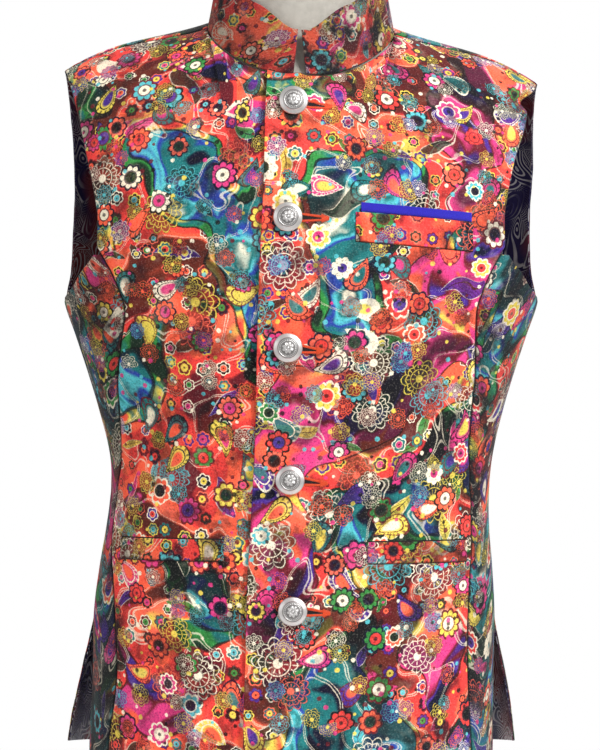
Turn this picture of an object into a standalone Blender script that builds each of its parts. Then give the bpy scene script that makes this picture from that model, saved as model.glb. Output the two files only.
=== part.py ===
"""Sleeveless nehru jacket, buttoned up, on a limbless linen-covered dress form.

Metres, +Z up, the jacket's front towards -Y, the wearer's left towards +X.
The tables and sizes are in millimetres and MM turns them into metres.
The form's flat underside stands on z = 0, and the whole is centred over the origin.
"""

import math

import bmesh
import bpy
import numpy as np
from mathutils import Vector

MM = 0.001

# Cloth walls and the gap kept at every seam
CLOTH = 2.0
BACK_CLOTH = 1.4
LINING = 0.8
LINING_GAP = 0.45
LINING_SHORT = 1.2
GAP = 0.3
COLLAR_CLOTH = 2.6

# Body of the jacket, from the hem up to the chest line
CHEST = 510.0
ARMHOLE_FOOT = 463.0
VENT_TOP = 195.0
HEM_BLEND = 140.0
ROUNDNESS = 2.2
SIDE_SEAM_ANGLE = 91.0
DEPTH_SHIFT = 5.3
SIDE_SHIFT = 0.0

SECTION_COLUMNS = ("height", "half_front", "half_back", "depth_front", "depth_back", "sway")
SECTIONS = (
    (40.0, 175.5, 197.0, 112.0, 121.0, -8.5),
    (90.0, 175.0, 194.5, 112.0, 120.0, -8.5),
    (135.0, 174.0, 187.0, 111.0, 117.0, -7.0),
    (167.0, 174.0, 180.0, 110.0, 114.0, -6.5),
    (195.0, 174.0, 174.3, 109.0, 111.0, -6.0),
    (236.0, 170.5, 170.5, 108.0, 108.0, -4.5),
    (268.0, 166.5, 166.5, 107.0, 105.0, -3.0),
    (293.0, 164.5, 164.5, 106.0, 103.0, -1.5),
    (323.0, 165.0, 165.0, 107.0, 102.0, 0.0),
    (374.0, 176.0, 176.0, 113.0, 106.0, 0.0),
    (407.0, 186.0, 186.0, 118.0, 110.0, 0.0),
    (437.0, 196.0, 196.0, 121.0, 113.0, 0.0),
    (463.0, 205.0, 205.0, 122.0, 115.0, 0.0),
    (510.0, 209.0, 209.0, 121.0, 117.0, 0.0),
)

# Shoulder: how each face eases back from the chest line to the ridge
FRONT_EASE = (1.4, 1.0)
BACK_EASE = (1.2, 0.77)
RIDGE_AT_CENTRE = 735.0
RIDGE_FALL = 0.36
RIDGE_DEPTH = 5.0
SHOULDER_HALF = 206.0

# Neck seam, an oval seen from above, and the shoulder seam that meets it
NECK_HALF = 81.0
NECK_DEPTH = 66.5
NECK_CENTRE = -14.0
NECK_ROUNDNESS = 1.85
NECK_FRONT_STEPS = (22.0, 42.0, 58.0, 70.0, 77.0, 81.0)
NECK_BACK_STEPS = (0.0, 25.0, 48.0, 66.0, 76.0, 81.0)
SHOULDER_STEPS = 8
LEVEL_CLIMB = {"front": 60.0, "back": 90.0}
LEVEL_POWER = 4.0

# Front edges: overlap edge, button line and collar ends, by height
FRONT_EDGE_COLUMNS = ("height", "overlap_edge")
FRONT_EDGE = (
    (50.0, -48.5),
    (113.0, -47.5),
    (247.0, -43.5),
    (338.0, -38.5),
    (394.0, -37.0),
    (490.0, -34.5),
    (560.0, -31.0),
    (600.0, -30.0),
    (660.0, -28.0),
)
RIGHT_COLLAR_END = -6.4
LEFT_COLLAR_END = 4.2
LAP_STEPS = (-14.5, -1.0)
OVERLAP_RAISE = 2.7

# Seam between front and side panel, as an angle round the body
SEAM_COLUMNS = ("height", "right", "left")
FRONT_SEAM = (
    (40.0, 62.0, 60.5),
    (90.0, 61.5, 60.0),
    (150.0, 58.5, 57.5),
    (190.0, 60.0, 57.0),
    (222.0, 63.5, 58.5),
    (262.0, 71.5, 62.0),
    (295.0, 73.0, 62.0),
    (330.0, 68.5, 59.0),
    (362.0, 63.0, 55.5),
    (394.0, 58.0, 52.5),
    (430.0, 50.5, 48.5),
    (463.0, 45.5, 45.5),
    (475.0, 46.5, 46.5),
    (487.0, 48.5, 48.5),
    (499.0, 51.5, 51.5),
    (510.0, 54.5, 54.5),
)

# Foot of the armhole: angle of its edge on the side panel and on the back
ARMHOLE_FOOT_COLUMNS = ("height", "side_panel", "back")
ARMHOLE_FOOT_EDGE = (
    (463.0, 91.0, 89.0),
    (475.0, 72.5, 82.5),
    (487.0, 65.0, 78.0),
    (499.0, 58.5, 76.0),
    (510.0, 54.5, 75.0),
)

# Armhole edges from the chest line (rise 0) to the shoulder tip (rise 1)
ARMHOLE_COLUMNS = ("rise", "front", "back")
ARMHOLE = (
    (0.0, 174.0, 202.5),
    (0.15, 173.5, 201.0),
    (0.3, 177.0, 200.5),
    (0.45, 182.5, 201.0),
    (0.65, 190.5, 202.5),
    (0.85, 199.0, 204.5),
    (1.0, 206.0, 206.0),
)

# Largest soft folds: middle across and up, half sizes, slant, and push outwards
FOLD_COLUMNS = ("face", "across", "height", "half_width", "half_length", "slant", "push")
FOLDS = (
    ("front", -130.0, 375.0, 20.0, 85.0, 0.05, -3.0),
    ("front", -85.0, 395.0, 24.0, 90.0, 0.12, 2.2),
    ("front", 112.0, 370.0, 20.0, 70.0, -0.25, -3.5),
    ("front", 80.0, 345.0, 24.0, 80.0, -0.2, 2.6),
    ("front", 128.0, 455.0, 20.0, 60.0, -0.5, -2.5),
    ("front", -125.0, 470.0, 20.0, 60.0, 0.55, -2.5),
    ("front", -100.0, 130.0, 26.0, 90.0, 0.0, 3.0),
    ("front", 95.0, 120.0, 26.0, 90.0, 0.0, 3.0),
    ("back", -70.0, 300.0, 26.0, 110.0, 0.0, -3.5),
    ("back", 70.0, 300.0, 26.0, 110.0, 0.0, -3.5),
    ("back", 0.0, 330.0, 30.0, 80.0, 0.0, 2.5),
    ("back", -60.0, 120.0, 30.0, 90.0, 0.05, 4.0),
    ("back", 85.0, 115.0, 30.0, 90.0, -0.05, 4.0),
)

# Hems: height at centre, at the front seam and at the vent
FRONT_HEM = (52.0, 58.0, 86.0)
BACK_HEM = (74.0, 84.0)

# Collar band
COLLAR_END_HEIGHT = 37.0
COLLAR_HEIGHT = 53.0
COLLAR_BACK_HEIGHT = 49.0
COLLAR_TOP_WIDTH = 0.875
COLLAR_TOP_DEPTH = 0.925
COLLAR_LIFT = 0.4
COLLAR_ROWS = 4

# Pockets: near and far upper corner (across, height), depth of the welt
WELT_COLUMNS = ("name", "panel", "near", "near_height", "far", "far_height", "deep", "colour")
WELT_THICKNESS = 1.6
WELT_LIFT = 0.8
WELTS = (
    ("chest_welt", "front_left", 45.5, 537.5, 144.0, 530.0, 25.0, "print"),
    ("hip_welt_left", "front_left", 55.5, 261.5, 140.0, 261.5, 18.5, "print"),
    ("hip_welt_right", "front_right", -64.5, 263.5, -153.0, 263.5, 18.5, "print"),
    ("chest_insert", "front_left", 50.0, 545.6, 143.0, 538.0, 7.6, "cobalt"),
)

# Buttons, from the neck down: across and height
BUTTONS = (
    (-6.0, 631.0),
    (-10.9, 533.0),
    (-10.9, 424.5),
    (-9.2, 314.0),
    (-7.0, 204.5),
)
BUTTON_RADIUS = 12.3
BUTTON_RIM = 1.1
BUTTON_DOME = 4.6
SHANK_RADIUS = 2.2
SHANK_LENGTH = 2.6
BUTTON_SIDES = 20
BUTTON_LIFT = 0.5

# Dress form: half width of its own body by height, and the neck
FORM_COLUMNS = ("height", "half", "depth")
FORM = (
    (0.0, 150.0, 88.0),
    (60.0, 156.0, 94.0),
    (150.0, 158.0, 98.0),
    (293.0, 148.0, 92.0),
    (380.0, 156.0, 98.0),
    (450.0, 166.0, 104.0),
    (510.0, 168.0, 105.0),
    (600.0, 166.0, 105.0),
    (640.0, 160.0, 105.0),
    (700.0, 150.0, 105.0),
)
FORM_SEAT = 4.7
FORM_NECK_HALF = 61.0
FORM_NECK_DEPTH = 52.0
FORM_TOP = 800.0
FORM_EDGE_ROUND = 7.0
FORM_RINGS = (
    0.0, 4.0, 60.0, 120.0, 190.0, 250.0, 310.0, 370.0, 420.0, 465.0, 510.0, 550.0, 585.0,
    612.0, 632.0, 648.0, 660.0, 670.0, 679.0, 687.0, 695.0, 704.0, 720.0, 760.0,
)
FORM_SIDES = 36

LOWER_ROWS = (105.0, 140.0, 195.0, 232.0, 268.0, 304.0, 342.0, 382.0, 422.0, 463.0, 475.0, 487.0,
              499.0, 510.0)
UPPER_ROWS = 9
SIDE_COLUMNS = 4


def table_curve(rows, names, column, value):
    """Read one named column of a table, on a smooth curve through its rows."""
    place = names.index(column)
    xs = np.array([row[0] for row in rows], dtype=float)
    ys = np.array([row[place] for row in rows], dtype=float)
    if value <= xs[0]:
        return float(ys[0])
    if value >= xs[-1]:
        return float(ys[-1])
    slopes = np.gradient(ys, xs)
    low = int(np.searchsorted(xs, value, side="right")) - 1
    span = xs[low + 1] - xs[low]
    part = (value - xs[low]) / span
    rest = 1.0 - part
    start = ys[low] * (1.0 + 2.0 * part) * rest * rest + slopes[low] * span * part * rest * rest
    end = ys[low + 1] * (3.0 - 2.0 * part) * part * part - slopes[low + 1] * span * part * part * rest
    return float(start + end)


def section(column, height):
    return table_curve(SECTIONS, SECTION_COLUMNS, column, height)


def signed_power(value, power):
    return math.copysign(abs(value) ** power, value)


def smooth_step(value):
    part = min(1.0, max(0.0, value))
    return part * part * (3.0 - 2.0 * part)


def angle_at(across, half):
    """Angle round the body, in degrees, whose point lies this far from the centre line."""
    share = min(1.0, abs(across) / half)
    return math.copysign(math.degrees(math.asin(share ** (ROUNDNESS / 2.0))), across)


def ridge_height(across):
    return RIDGE_AT_CENTRE - RIDGE_FALL * abs(across)


def ridge_depth(across):
    return RIDGE_DEPTH * (1.0 - abs(across) / SHOULDER_HALF)


def bare_skin(face, angle, climb):
    """Point of the jacket's outer form.

    angle runs from the centre of the face to its side. climb is the height up to the
    chest line, and past it each unit is one degree of the arc over the shoulder.
    """
    sign = -1.0 if face == "front" else 1.0
    level = min(climb, CHEST)
    half = section("half_" + face, level)
    turn = math.radians(angle)
    across = half * signed_power(math.sin(turn), 2.0 / ROUNDNESS)
    inward = signed_power(math.cos(turn), 2.0 / ROUNDNESS)
    x = section("sway", level) + across
    if climb <= CHEST:
        behind = face if inward > 0.0 else "back"
        return np.array((x, sign * section("depth_" + behind, level) * inward, climb))
    over = math.radians(climb - CHEST)
    if over > math.pi / 2.0:
        sign = -sign
        face = "back" if face == "front" else "front"
    ease_depth, ease_height = FRONT_EASE if face == "front" else BACK_EASE
    share = abs(math.cos(over)) ** ease_depth
    rise = math.sin(over) ** ease_height
    foot = sign * section("depth_" + face, CHEST) * inward
    ridge = ridge_depth(across)
    return np.array((
        x,
        ridge + (foot - ridge) * share,
        CHEST + (ridge_height(across) - CHEST) * rise,
    ))


def fold_push(face, x, z):
    push = 0.0
    for row in FOLDS:
        fold = dict(zip(FOLD_COLUMNS, row))
        along = (z - fold["height"]) / fold["half_length"]
        if fold["face"] != face or abs(along) >= 1.0:
            continue
        middle = fold["across"] + fold["slant"] * (z - fold["height"])
        beside = (x - middle) / fold["half_width"]
        push += fold["push"] * math.exp(-beside * beside) * math.cos(along * math.pi / 2.0) ** 2
    return push


def skin(face, angle, climb):
    """Point of the cloth's outer face with its folds, and the direction out of the body."""
    step = 0.05
    point = bare_skin(face, angle, climb)
    aside = bare_skin(face, angle + step, climb) - bare_skin(face, angle - step, climb)
    up = bare_skin(face, angle, climb + step) - bare_skin(face, angle, climb - step)
    normal = np.cross(aside, up)
    normal /= np.linalg.norm(normal)
    heart = np.array((section("sway", min(climb, CHEST)), 0.0, min(point[2], ARMHOLE_FOOT)))
    if np.dot(normal, point - heart) < 0.0:
        normal = -normal
    return point + normal * fold_push(face, point[0], point[2]), normal


def neck_seam_depth(across, behind):
    """Depth of the neck seam's oval at this distance from the centre line."""
    share = min(1.0, abs(across) / NECK_HALF)
    reach = NECK_DEPTH * (1.0 - share ** NECK_ROUNDNESS) ** (1.0 / NECK_ROUNDNESS)
    return NECK_CENTRE + (reach if behind else -reach)


def shoulder_seam_depth(across):
    """The shoulder seam lies forward of the ridge and meets it at the tip."""
    share = (abs(across) - NECK_HALF) / (SHOULDER_HALF - NECK_HALF)
    return NECK_CENTRE * (1.0 - share) - 0.4 * share


def climb_to_depth(across, depth, front_side):
    """Climb, on the front or the back slope, at which the form reaches this depth."""
    half = section("half_front", CHEST)
    inward = math.cos(math.radians(angle_at(across, half))) ** (2.0 / ROUNDNESS)
    face = "front" if front_side else "back"
    foot = section("depth_" + face, CHEST) * inward * (-1.0 if front_side else 1.0)
    ridge = ridge_depth(across)
    share = min(1.0, max(0.0, (depth - ridge) / (foot - ridge)))
    ease = FRONT_EASE[0] if front_side else BACK_EASE[0]
    return math.degrees(math.acos(share ** (1.0 / ease)))


def front_top(across):
    """Climb at which a front ends: on the neck seam, or on the shoulder seam outside it."""
    if abs(across) < NECK_HALF - 0.01:
        return climb_to_depth(across, neck_seam_depth(across, False), True)
    return climb_to_depth(across, shoulder_seam_depth(across), True)


def back_top(across):
    """The back ends on the neck seam, or passes the ridge and ends on the shoulder seam."""
    if abs(across) < NECK_HALF - 0.01:
        depth = neck_seam_depth(across, True)
        return climb_to_depth(across, depth, depth < ridge_depth(across))
    return 180.0 - climb_to_depth(across, shoulder_seam_depth(across), True)


def front_seam(side, height):
    return table_curve(FRONT_SEAM, SEAM_COLUMNS, "left" if side > 0 else "right", height)


def front_hem(angle):
    turn = abs(angle)
    seam = front_seam(angle, FRONT_HEM[0])
    if turn <= seam:
        return FRONT_HEM[0] + (FRONT_HEM[1] - FRONT_HEM[0]) * (turn / seam) ** 2
    past = (turn - seam) / (SIDE_SEAM_ANGLE - seam)
    return FRONT_HEM[1] + (FRONT_HEM[2] - FRONT_HEM[1]) * past ** 2.5


def back_hem(angle):
    return BACK_HEM[0] + (BACK_HEM[1] - BACK_HEM[0]) * (abs(angle) / SIDE_SEAM_ANGLE) ** 2


def row_climb(height, hem):
    """Rows follow the hem's curve at the bottom and lie level above HEM_BLEND."""
    if height >= HEM_BLEND:
        return height
    part = (height - FRONT_HEM[0]) / (HEM_BLEND - FRONT_HEM[0])
    return hem + (HEM_BLEND - hem) * max(0.0, part)


def panel_grid(face, rows):
    """rows holds lists of (angle, climb, raise); gives points and normals of the same layout."""
    points = []
    normals = []
    for row in rows:
        placed = [skin(face, angle, climb) for angle, climb, raised in row]
        points.append([spot + way * cell[2] for (spot, way), cell in zip(placed, row)])
        normals.append([way for spot, way in placed])
    return np.array(points), np.array(normals)


def shoulder_fractions(start, steps):
    """Share of a panel's width at which each column ends, so that seams share their points."""
    half = section("half_front", CHEST)
    first = angle_at(start, half)
    last = angle_at(SHOULDER_HALF, half)
    neck = angle_at(NECK_HALF, half)
    angles = [first] + [angle_at(step, half) for step in steps if step > start + 0.01]
    angles += [neck + (last - neck) * k / SHOULDER_STEPS for k in range(1, SHOULDER_STEPS + 1)]
    return [(angle - first) / (last - first) for angle in angles]


def row_of_climb(face, part, top):
    """Rows stay level across a panel, and spread out only just below a higher top."""
    level = min(top, LEVEL_CLIMB[face])
    return CHEST + part * level + (top - level) * part ** LEVEL_POWER


def front_rows(side, inner_edge, overlap):
    """One front: side +1 is the wearer's left. overlap adds the columns that lap over."""
    fractions = shoulder_fractions(inner_edge, NECK_FRONT_STEPS)
    rows = []
    for height in (FRONT_HEM[0],) + LOWER_ROWS:
        half = section("half_front", height)
        sway = section("sway", height)
        first = angle_at(side * inner_edge, half)
        last = side * front_seam(side, height)
        angles = [first + (last - first) * part for part in fractions]
        lap = []
        if overlap:
            edge = table_curve(FRONT_EDGE, FRONT_EDGE_COLUMNS, "overlap_edge", height) - sway
            lap = [angle_at(place, half) for place in (edge,) + LAP_STEPS]
        rows.append([(angle, row_climb(height, front_hem(angle)), OVERLAP_RAISE) for angle in lap]
                    + [(angle, row_climb(height, front_hem(angle)), 0.0) for angle in angles])
    half = section("half_front", CHEST)
    neck_first = angle_at(inner_edge, half)
    tip = angle_at(SHOULDER_HALF, half)
    for k in range(1, UPPER_ROWS + 1):
        part = k / UPPER_ROWS
        tip_climb = row_of_climb("front", part, front_top(SHOULDER_HALF)) - CHEST
        rise = math.sin(math.radians(tip_climb))
        out = angle_at(table_curve(ARMHOLE, ARMHOLE_COLUMNS, "front", rise), half)
        row = []
        if overlap:
            height = CHEST + part * (660.0 - CHEST)
            edge = table_curve(FRONT_EDGE, FRONT_EDGE_COLUMNS, "overlap_edge", height)
            row = [(angle_at(place, half), row_of_climb("front", part, front_top(place)), OVERLAP_RAISE)
                   for place in (edge,) + LAP_STEPS]
        for share in fractions:
            top_angle = neck_first + (tip - neck_first) * share
            top_across = half * math.sin(math.radians(top_angle)) ** (2.0 / ROUNDNESS)
            angle = neck_first + (out - neck_first) * share
            row.append((side * angle, row_of_climb("front", part, front_top(top_across)), 0.0))
        rows.append(row)
    return rows


def side_rows(side):
    rows = []
    for height in (FRONT_HEM[0],) + LOWER_ROWS[:-1]:
        first = front_seam(side, height)
        last = SIDE_SEAM_ANGLE
        if height > ARMHOLE_FOOT:
            last = table_curve(ARMHOLE_FOOT_EDGE, ARMHOLE_FOOT_COLUMNS, "side_panel", height)
        angles = [first + (last - first) * k / SIDE_COLUMNS for k in range(SIDE_COLUMNS + 1)]
        rows.append([(side * angle, row_climb(height, front_hem(angle)), 0.0) for angle in angles])
    return rows


def back_rows():
    """The back runs from one side seam to the other, and over both shoulders."""
    half = section("half_back", CHEST)
    fractions = shoulder_fractions(0.0, NECK_BACK_STEPS)
    shares = [-part for part in reversed(fractions[1:])] + fractions
    tip = angle_at(SHOULDER_HALF, half)
    rows = []
    for height in (FRONT_HEM[0],) + LOWER_ROWS:
        last = 180.0 - SIDE_SEAM_ANGLE
        if height > ARMHOLE_FOOT:
            last = table_curve(ARMHOLE_FOOT_EDGE, ARMHOLE_FOOT_COLUMNS, "back", height)
        rows.append([(last * share, row_climb(height, back_hem(last * share)), 0.0)
                     for share in shares])
    for k in range(1, UPPER_ROWS + 1):
        part = k / UPPER_ROWS
        tip_climb = row_of_climb("back", part, back_top(SHOULDER_HALF)) - CHEST
        rise = math.sin(math.radians(min(90.0, tip_climb)))
        out = angle_at(table_curve(ARMHOLE, ARMHOLE_COLUMNS, "back", rise), half)
        row = []
        for share in shares:
            top_across = half * abs(math.sin(math.radians(tip * share))) ** (2.0 / ROUNDNESS)
            row.append((out * share, row_of_climb("back", part, back_top(top_across)), 0.0))
        rows.append(row)
    return rows


def draw_in(points, edge, distance):
    """Move one edge of a grid inwards along the grid, to leave room at a seam."""
    outer, inner = {
        "first_row": (np.s_[0, :], np.s_[1, :]),
        "last_row": (np.s_[-1, :], np.s_[-2, :]),
        "first_column": (np.s_[:, 0], np.s_[:, 1]),
        "last_column": (np.s_[:, -1], np.s_[:, -2]),
    }[edge]
    way = points[inner] - points[outer]
    points[outer] += way / np.linalg.norm(way, axis=-1, keepdims=True) * distance


def new_material(name, colour, roughness, metallic=0.0):
    material = bpy.data.materials.new(name)
    material.use_nodes = True
    shader = material.node_tree.nodes["Principled BSDF"]
    shader.inputs["Base Color"].default_value = (*colour, 1.0)
    shader.inputs["Roughness"].default_value = roughness
    shader.inputs["Metallic"].default_value = metallic
    return material


def add_object(name, mesh, material):
    mesh.materials.append(material)
    mesh.shade_smooth()
    mesh.set_sharp_from_angle(angle=math.radians(40.0))
    thing = bpy.data.objects.new(name, mesh)
    PARTS.objects.link(thing)
    return thing


def placed(point):
    return Vector(((point[0] + SIDE_SHIFT) * MM, (point[1] + DEPTH_SHIFT) * MM, point[2] * MM))


def wall_from_grids(name, outside, inside, material, closed=False):
    """Closed wall between two grids of the same layout; closed joins last column to first."""
    rows, columns = outside.shape[:2]
    build = bmesh.new()
    layers = [[[build.verts.new(placed(grid[i, j])) for j in range(columns)] for i in range(rows)]
              for grid in (outside, inside)]
    front, rear = layers
    across = range(columns if closed else columns - 1)
    for i in range(rows - 1):
        for j in across:
            k = (j + 1) % columns
            build.faces.new((front[i][j], front[i][k], front[i + 1][k], front[i + 1][j]))
            build.faces.new((rear[i][j], rear[i + 1][j], rear[i + 1][k], rear[i][k]))
    for j in across:
        k = (j + 1) % columns
        build.faces.new((front[0][k], front[0][j], rear[0][j], rear[0][k]))
        build.faces.new((front[-1][j], front[-1][k], rear[-1][k], rear[-1][j]))
    if not closed:
        for i in range(rows - 1):
            build.faces.new((front[i][0], front[i + 1][0], rear[i + 1][0], rear[i][0]))
            build.faces.new((front[i + 1][-1], front[i][-1], rear[i][-1], rear[i + 1][-1]))
    bmesh.ops.triangulate(build, faces=build.faces, quad_method="FIXED")
    bmesh.ops.recalc_face_normals(build, faces=build.faces)
    mesh = bpy.data.meshes.new(name)
    build.to_mesh(mesh)
    build.free()
    return add_object(name, mesh, material)


def cloth_panel(name, face, rows, thickness, seams, material):
    """Wall with its outer points on the jacket's form, drawn in at the seams that are named."""
    points, normals = panel_grid(face, rows)
    inside = points - normals * thickness
    for edge in seams:
        draw_in(points, edge, GAP / 2.0)
        draw_in(inside, edge, GAP / 2.0)
    wall_from_grids(name, points, inside, material)
    return {"points": points, "normals": normals}


def on_panel(panel, x, z):
    """Point and normal of a panel's outer face, found by its place seen from the front."""
    points = panel["points"]
    rows, columns = points.shape[:2]
    apart = (points[:, :, 0] - x) ** 2 + (points[:, :, 2] - z) ** 2
    i, j = np.unravel_index(int(np.argmin(apart)), apart.shape)
    place = np.array((float(i), float(j)))
    for _ in range(30):
        low = np.minimum(np.maximum(np.floor(place), 0), (rows - 2, columns - 2)).astype(int)
        part = place - low
        corners = points[low[0]:low[0] + 2, low[1]:low[1] + 2]
        weights = np.outer((1.0 - part[0], part[0]), (1.0 - part[1], part[1]))
        spot = np.tensordot(weights, corners, 2)
        up = (1.0 - part[1]) * (corners[1, 0] - corners[0, 0]) + part[1] * (corners[1, 1] - corners[0, 1])
        aside = (1.0 - part[0]) * (corners[0, 1] - corners[0, 0]) + part[0] * (corners[1, 1] - corners[1, 0])
        slope = np.array(((up[0], aside[0]), (up[2], aside[2])))
        place += np.linalg.solve(slope, (x - spot[0], z - spot[2])) * 0.8
    ways = panel["normals"][low[0]:low[0] + 2, low[1]:low[1] + 2]
    normal = np.tensordot(weights, ways, 2)
    return spot, normal / np.linalg.norm(normal)


def welt(row, panels, material):
    """Pocket welt: a flat strip that lies on its front, made from the front's own points."""
    columns = 8
    steps = 3
    name = row["name"]
    outside = []
    inside = []
    for i in range(steps):
        down = row["deep"] * (1.0 - i / (steps - 1))
        line_out = []
        line_in = []
        for j in range(columns + 1):
            part = j / columns
            x = row["near"] + (row["far"] - row["near"]) * part
            z = row["near_height"] + (row["far_height"] - row["near_height"]) * part - down
            spot, way = on_panel(panels[row["panel"]], x, z)
            line_in.append(spot + way * WELT_LIFT)
            line_out.append(spot + way * (WELT_LIFT + WELT_THICKNESS))
        outside.append(line_out)
        inside.append(line_in)
    return wall_from_grids(name, np.array(outside), np.array(inside), material)


def neck_line(side):
    """Points of the neck seam on one side, from its front end round to the back's centre."""
    start = LEFT_COLLAR_END if side > 0 else -RIGHT_COLLAR_END
    stops = [(start, False)]
    stops += [(step, False) for step in NECK_FRONT_STEPS]
    stops += [(step, True) for step in reversed(NECK_BACK_STEPS[:-1])]
    line = []
    half = section("half_front", CHEST)
    for across, behind in stops:
        face = "back" if behind else "front"
        climb = CHEST + (back_top(across) if behind else front_top(across))
        line.append(bare_skin(face, side * angle_at(across, half), climb))
    return line


def collar_grids():
    """Band that stands on the neck seam, lower at its front ends, leaning in to its top."""
    left = neck_line(1.0)
    right = neck_line(-1.0)
    base = np.array(left + right[-2::-1])
    ends = len(base) - 1
    outside = []
    inside = []
    middle = np.array((0.0, NECK_CENTRE, 0.0))
    for i in range(COLLAR_ROWS + 1):
        part = i / COLLAR_ROWS
        line_out = []
        line_in = []
        for j, spot in enumerate(base):
            sideways = abs(spot[0]) / NECK_HALF
            if spot[1] > NECK_CENTRE:
                tall = COLLAR_HEIGHT + (COLLAR_BACK_HEIGHT - COLLAR_HEIGHT) * (1.0 - sideways)
            else:
                tall = COLLAR_END_HEIGHT + (COLLAR_HEIGHT - COLLAR_END_HEIGHT) * smooth_step(sideways * 1.9)
            lean_x = 1.0 + (COLLAR_TOP_WIDTH - 1.0) * part
            lean_y = 1.0 + (COLLAR_TOP_DEPTH - 1.0) * part
            point = np.array((
                spot[0] * lean_x,
                NECK_CENTRE + (spot[1] - NECK_CENTRE) * lean_y,
                spot[2] + COLLAR_LIFT + tall * part,
            ))
            if j in (0, ends):
                point[0] = spot[0] + (-1.2 - spot[0]) * 0.72 * part
            inward = middle - (point[0], point[1], 0.0)
            inward /= np.linalg.norm(inward)
            line_out.append(point)
            line_in.append(point + inward * COLLAR_CLOTH)
        outside.append(line_out)
        inside.append(line_in)
    return np.array(outside), np.array(inside)


def under_shoulders(x, y, z):
    """True where a point above the chest line lies inside the cloth's outer form."""
    top = ridge_height(x)
    if z >= top:
        return False
    ridge = ridge_depth(x)
    face = "front" if y < ridge else "back"
    sign = -1.0 if face == "front" else 1.0
    ease_depth, ease_height = FRONT_EASE if face == "front" else BACK_EASE
    over = math.asin(((z - CHEST) / (top - CHEST)) ** (1.0 / ease_height))
    inward = math.cos(math.radians(angle_at(x, section("half_" + face, CHEST)))) ** (2.0 / ROUNDNESS)
    foot = sign * section("depth_" + face, CHEST) * inward
    return abs(y - ridge) < abs(foot - ridge) * math.cos(over) ** ease_depth


def inside_form(x, y, z):
    """True where the form's own body lies, clear of the cloth around it."""
    half = table_curve(FORM, FORM_COLUMNS, "half", z)
    depth = table_curve(FORM, FORM_COLUMNS, "depth", z)
    x -= section("sway", min(z, CHEST))
    if (abs(x) / half) ** ROUNDNESS + (abs(y) / depth) ** ROUNDNESS > 1.0:
        return False
    if z <= CHEST:
        return True
    out = math.copysign(FORM_SEAT, y - ridge_depth(x))
    return all(under_shoulders(x, y + out * math.cos(turn), z + FORM_SEAT * math.sin(turn))
               for turn in (0.0, math.pi / 4.0, math.pi / 2.0))


def form_reach(turn, z):
    """Distance of the form's surface from the neck's axis, in one direction at one height."""
    neck = 1.0 / math.hypot(math.cos(turn) / FORM_NECK_HALF, math.sin(turn) / FORM_NECK_DEPTH)
    near = 0.0
    far = 260.0
    sway = section("sway", min(z, CHEST))
    for _ in range(24):
        middle = (near + far) / 2.0
        x = sway + middle * math.cos(turn)
        y = NECK_CENTRE + middle * math.sin(turn)
        if inside_form(x, y, z):
            near = middle
        else:
            far = middle
    if z > FORM_RINGS[-4]:
        return neck
    return max(near, neck) if z > CHEST + 80.0 else near


def dress_form(material):
    """Smooth limbless torso, as rings from the flat underside to the top of the neck."""
    turns = [2.0 * math.pi * k / FORM_SIDES for k in range(FORM_SIDES)]
    reach = np.array([[form_reach(turn, z) for turn in turns] for z in FORM_RINGS])
    for _ in range(2):
        around = (np.roll(reach, 1, axis=1) + np.roll(reach, -1, axis=1)) / 2.0
        reach = np.minimum(reach, reach * 0.5 + around * 0.5)
    reach[0] -= FORM_EDGE_ROUND * 0.4
    build = bmesh.new()
    rings = []
    levels = list(FORM_RINGS) + [FORM_TOP - FORM_EDGE_ROUND, FORM_TOP - FORM_EDGE_ROUND * 0.3, FORM_TOP]
    drawn_in = [0.0] * len(FORM_RINGS) + [0.0, FORM_EDGE_ROUND * 0.3, FORM_EDGE_ROUND]
    for index, (z, less) in enumerate(zip(levels, drawn_in)):
        row = reach[min(index, len(FORM_RINGS) - 1)] - less
        sway = section("sway", min(z, CHEST))
        rings.append([build.verts.new(placed((sway + r * math.cos(turn),
                                              NECK_CENTRE + r * math.sin(turn), z)))
                      for r, turn in zip(row, turns)])
    for low, high in zip(rings, rings[1:]):
        for k in range(FORM_SIDES):
            n = (k + 1) % FORM_SIDES
            build.faces.new((low[k], low[n], high[n], high[k]))
    build.faces.new(list(reversed(rings[0])))
    build.faces.new(rings[-1])
    bmesh.ops.recalc_face_normals(build, faces=build.faces)
    mesh = bpy.data.meshes.new("dress_form")
    build.to_mesh(mesh)
    build.free()
    return add_object("dress_form", mesh, material)


def button(name, spot, way, material):
    """Domed shank button, a turned profile whose axis stands out of the cloth."""
    profile = [
        (0.0, SHANK_LENGTH + BUTTON_RIM + BUTTON_DOME),
        (BUTTON_RADIUS * 0.5, SHANK_LENGTH + BUTTON_RIM + BUTTON_DOME * 0.83),
        (BUTTON_RADIUS * 0.85, SHANK_LENGTH + BUTTON_RIM + BUTTON_DOME * 0.42),
        (BUTTON_RADIUS, SHANK_LENGTH + BUTTON_RIM),
        (BUTTON_RADIUS, SHANK_LENGTH),
        (SHANK_RADIUS, SHANK_LENGTH),
        (SHANK_RADIUS, 0.0),
        (0.0, 0.0),
    ]
    mesh = bpy.data.meshes.new(name)
    points = [(r * MM, 0.0, h * MM) for r, h in profile]
    mesh.from_pydata(points, [(k, k + 1) for k in range(len(points) - 1)], [])
    thing = add_object(name, mesh, material)
    turned = thing.modifiers.new("turned", "SCREW")
    turned.steps = BUTTON_SIDES
    turned.render_steps = BUTTON_SIDES
    turned.use_merge_vertices = True
    turned.merge_threshold = 0.00001
    thing.location = placed(spot + way * BUTTON_LIFT)
    thing.rotation_euler = Vector(way).to_track_quat("Z", "Y").to_euler()
    return thing


for old in list(bpy.data.objects):
    bpy.data.objects.remove(old, do_unlink=True)
PARTS = bpy.data.collections.new("nehru_jacket")
bpy.context.scene.collection.children.link(PARTS)

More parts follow.
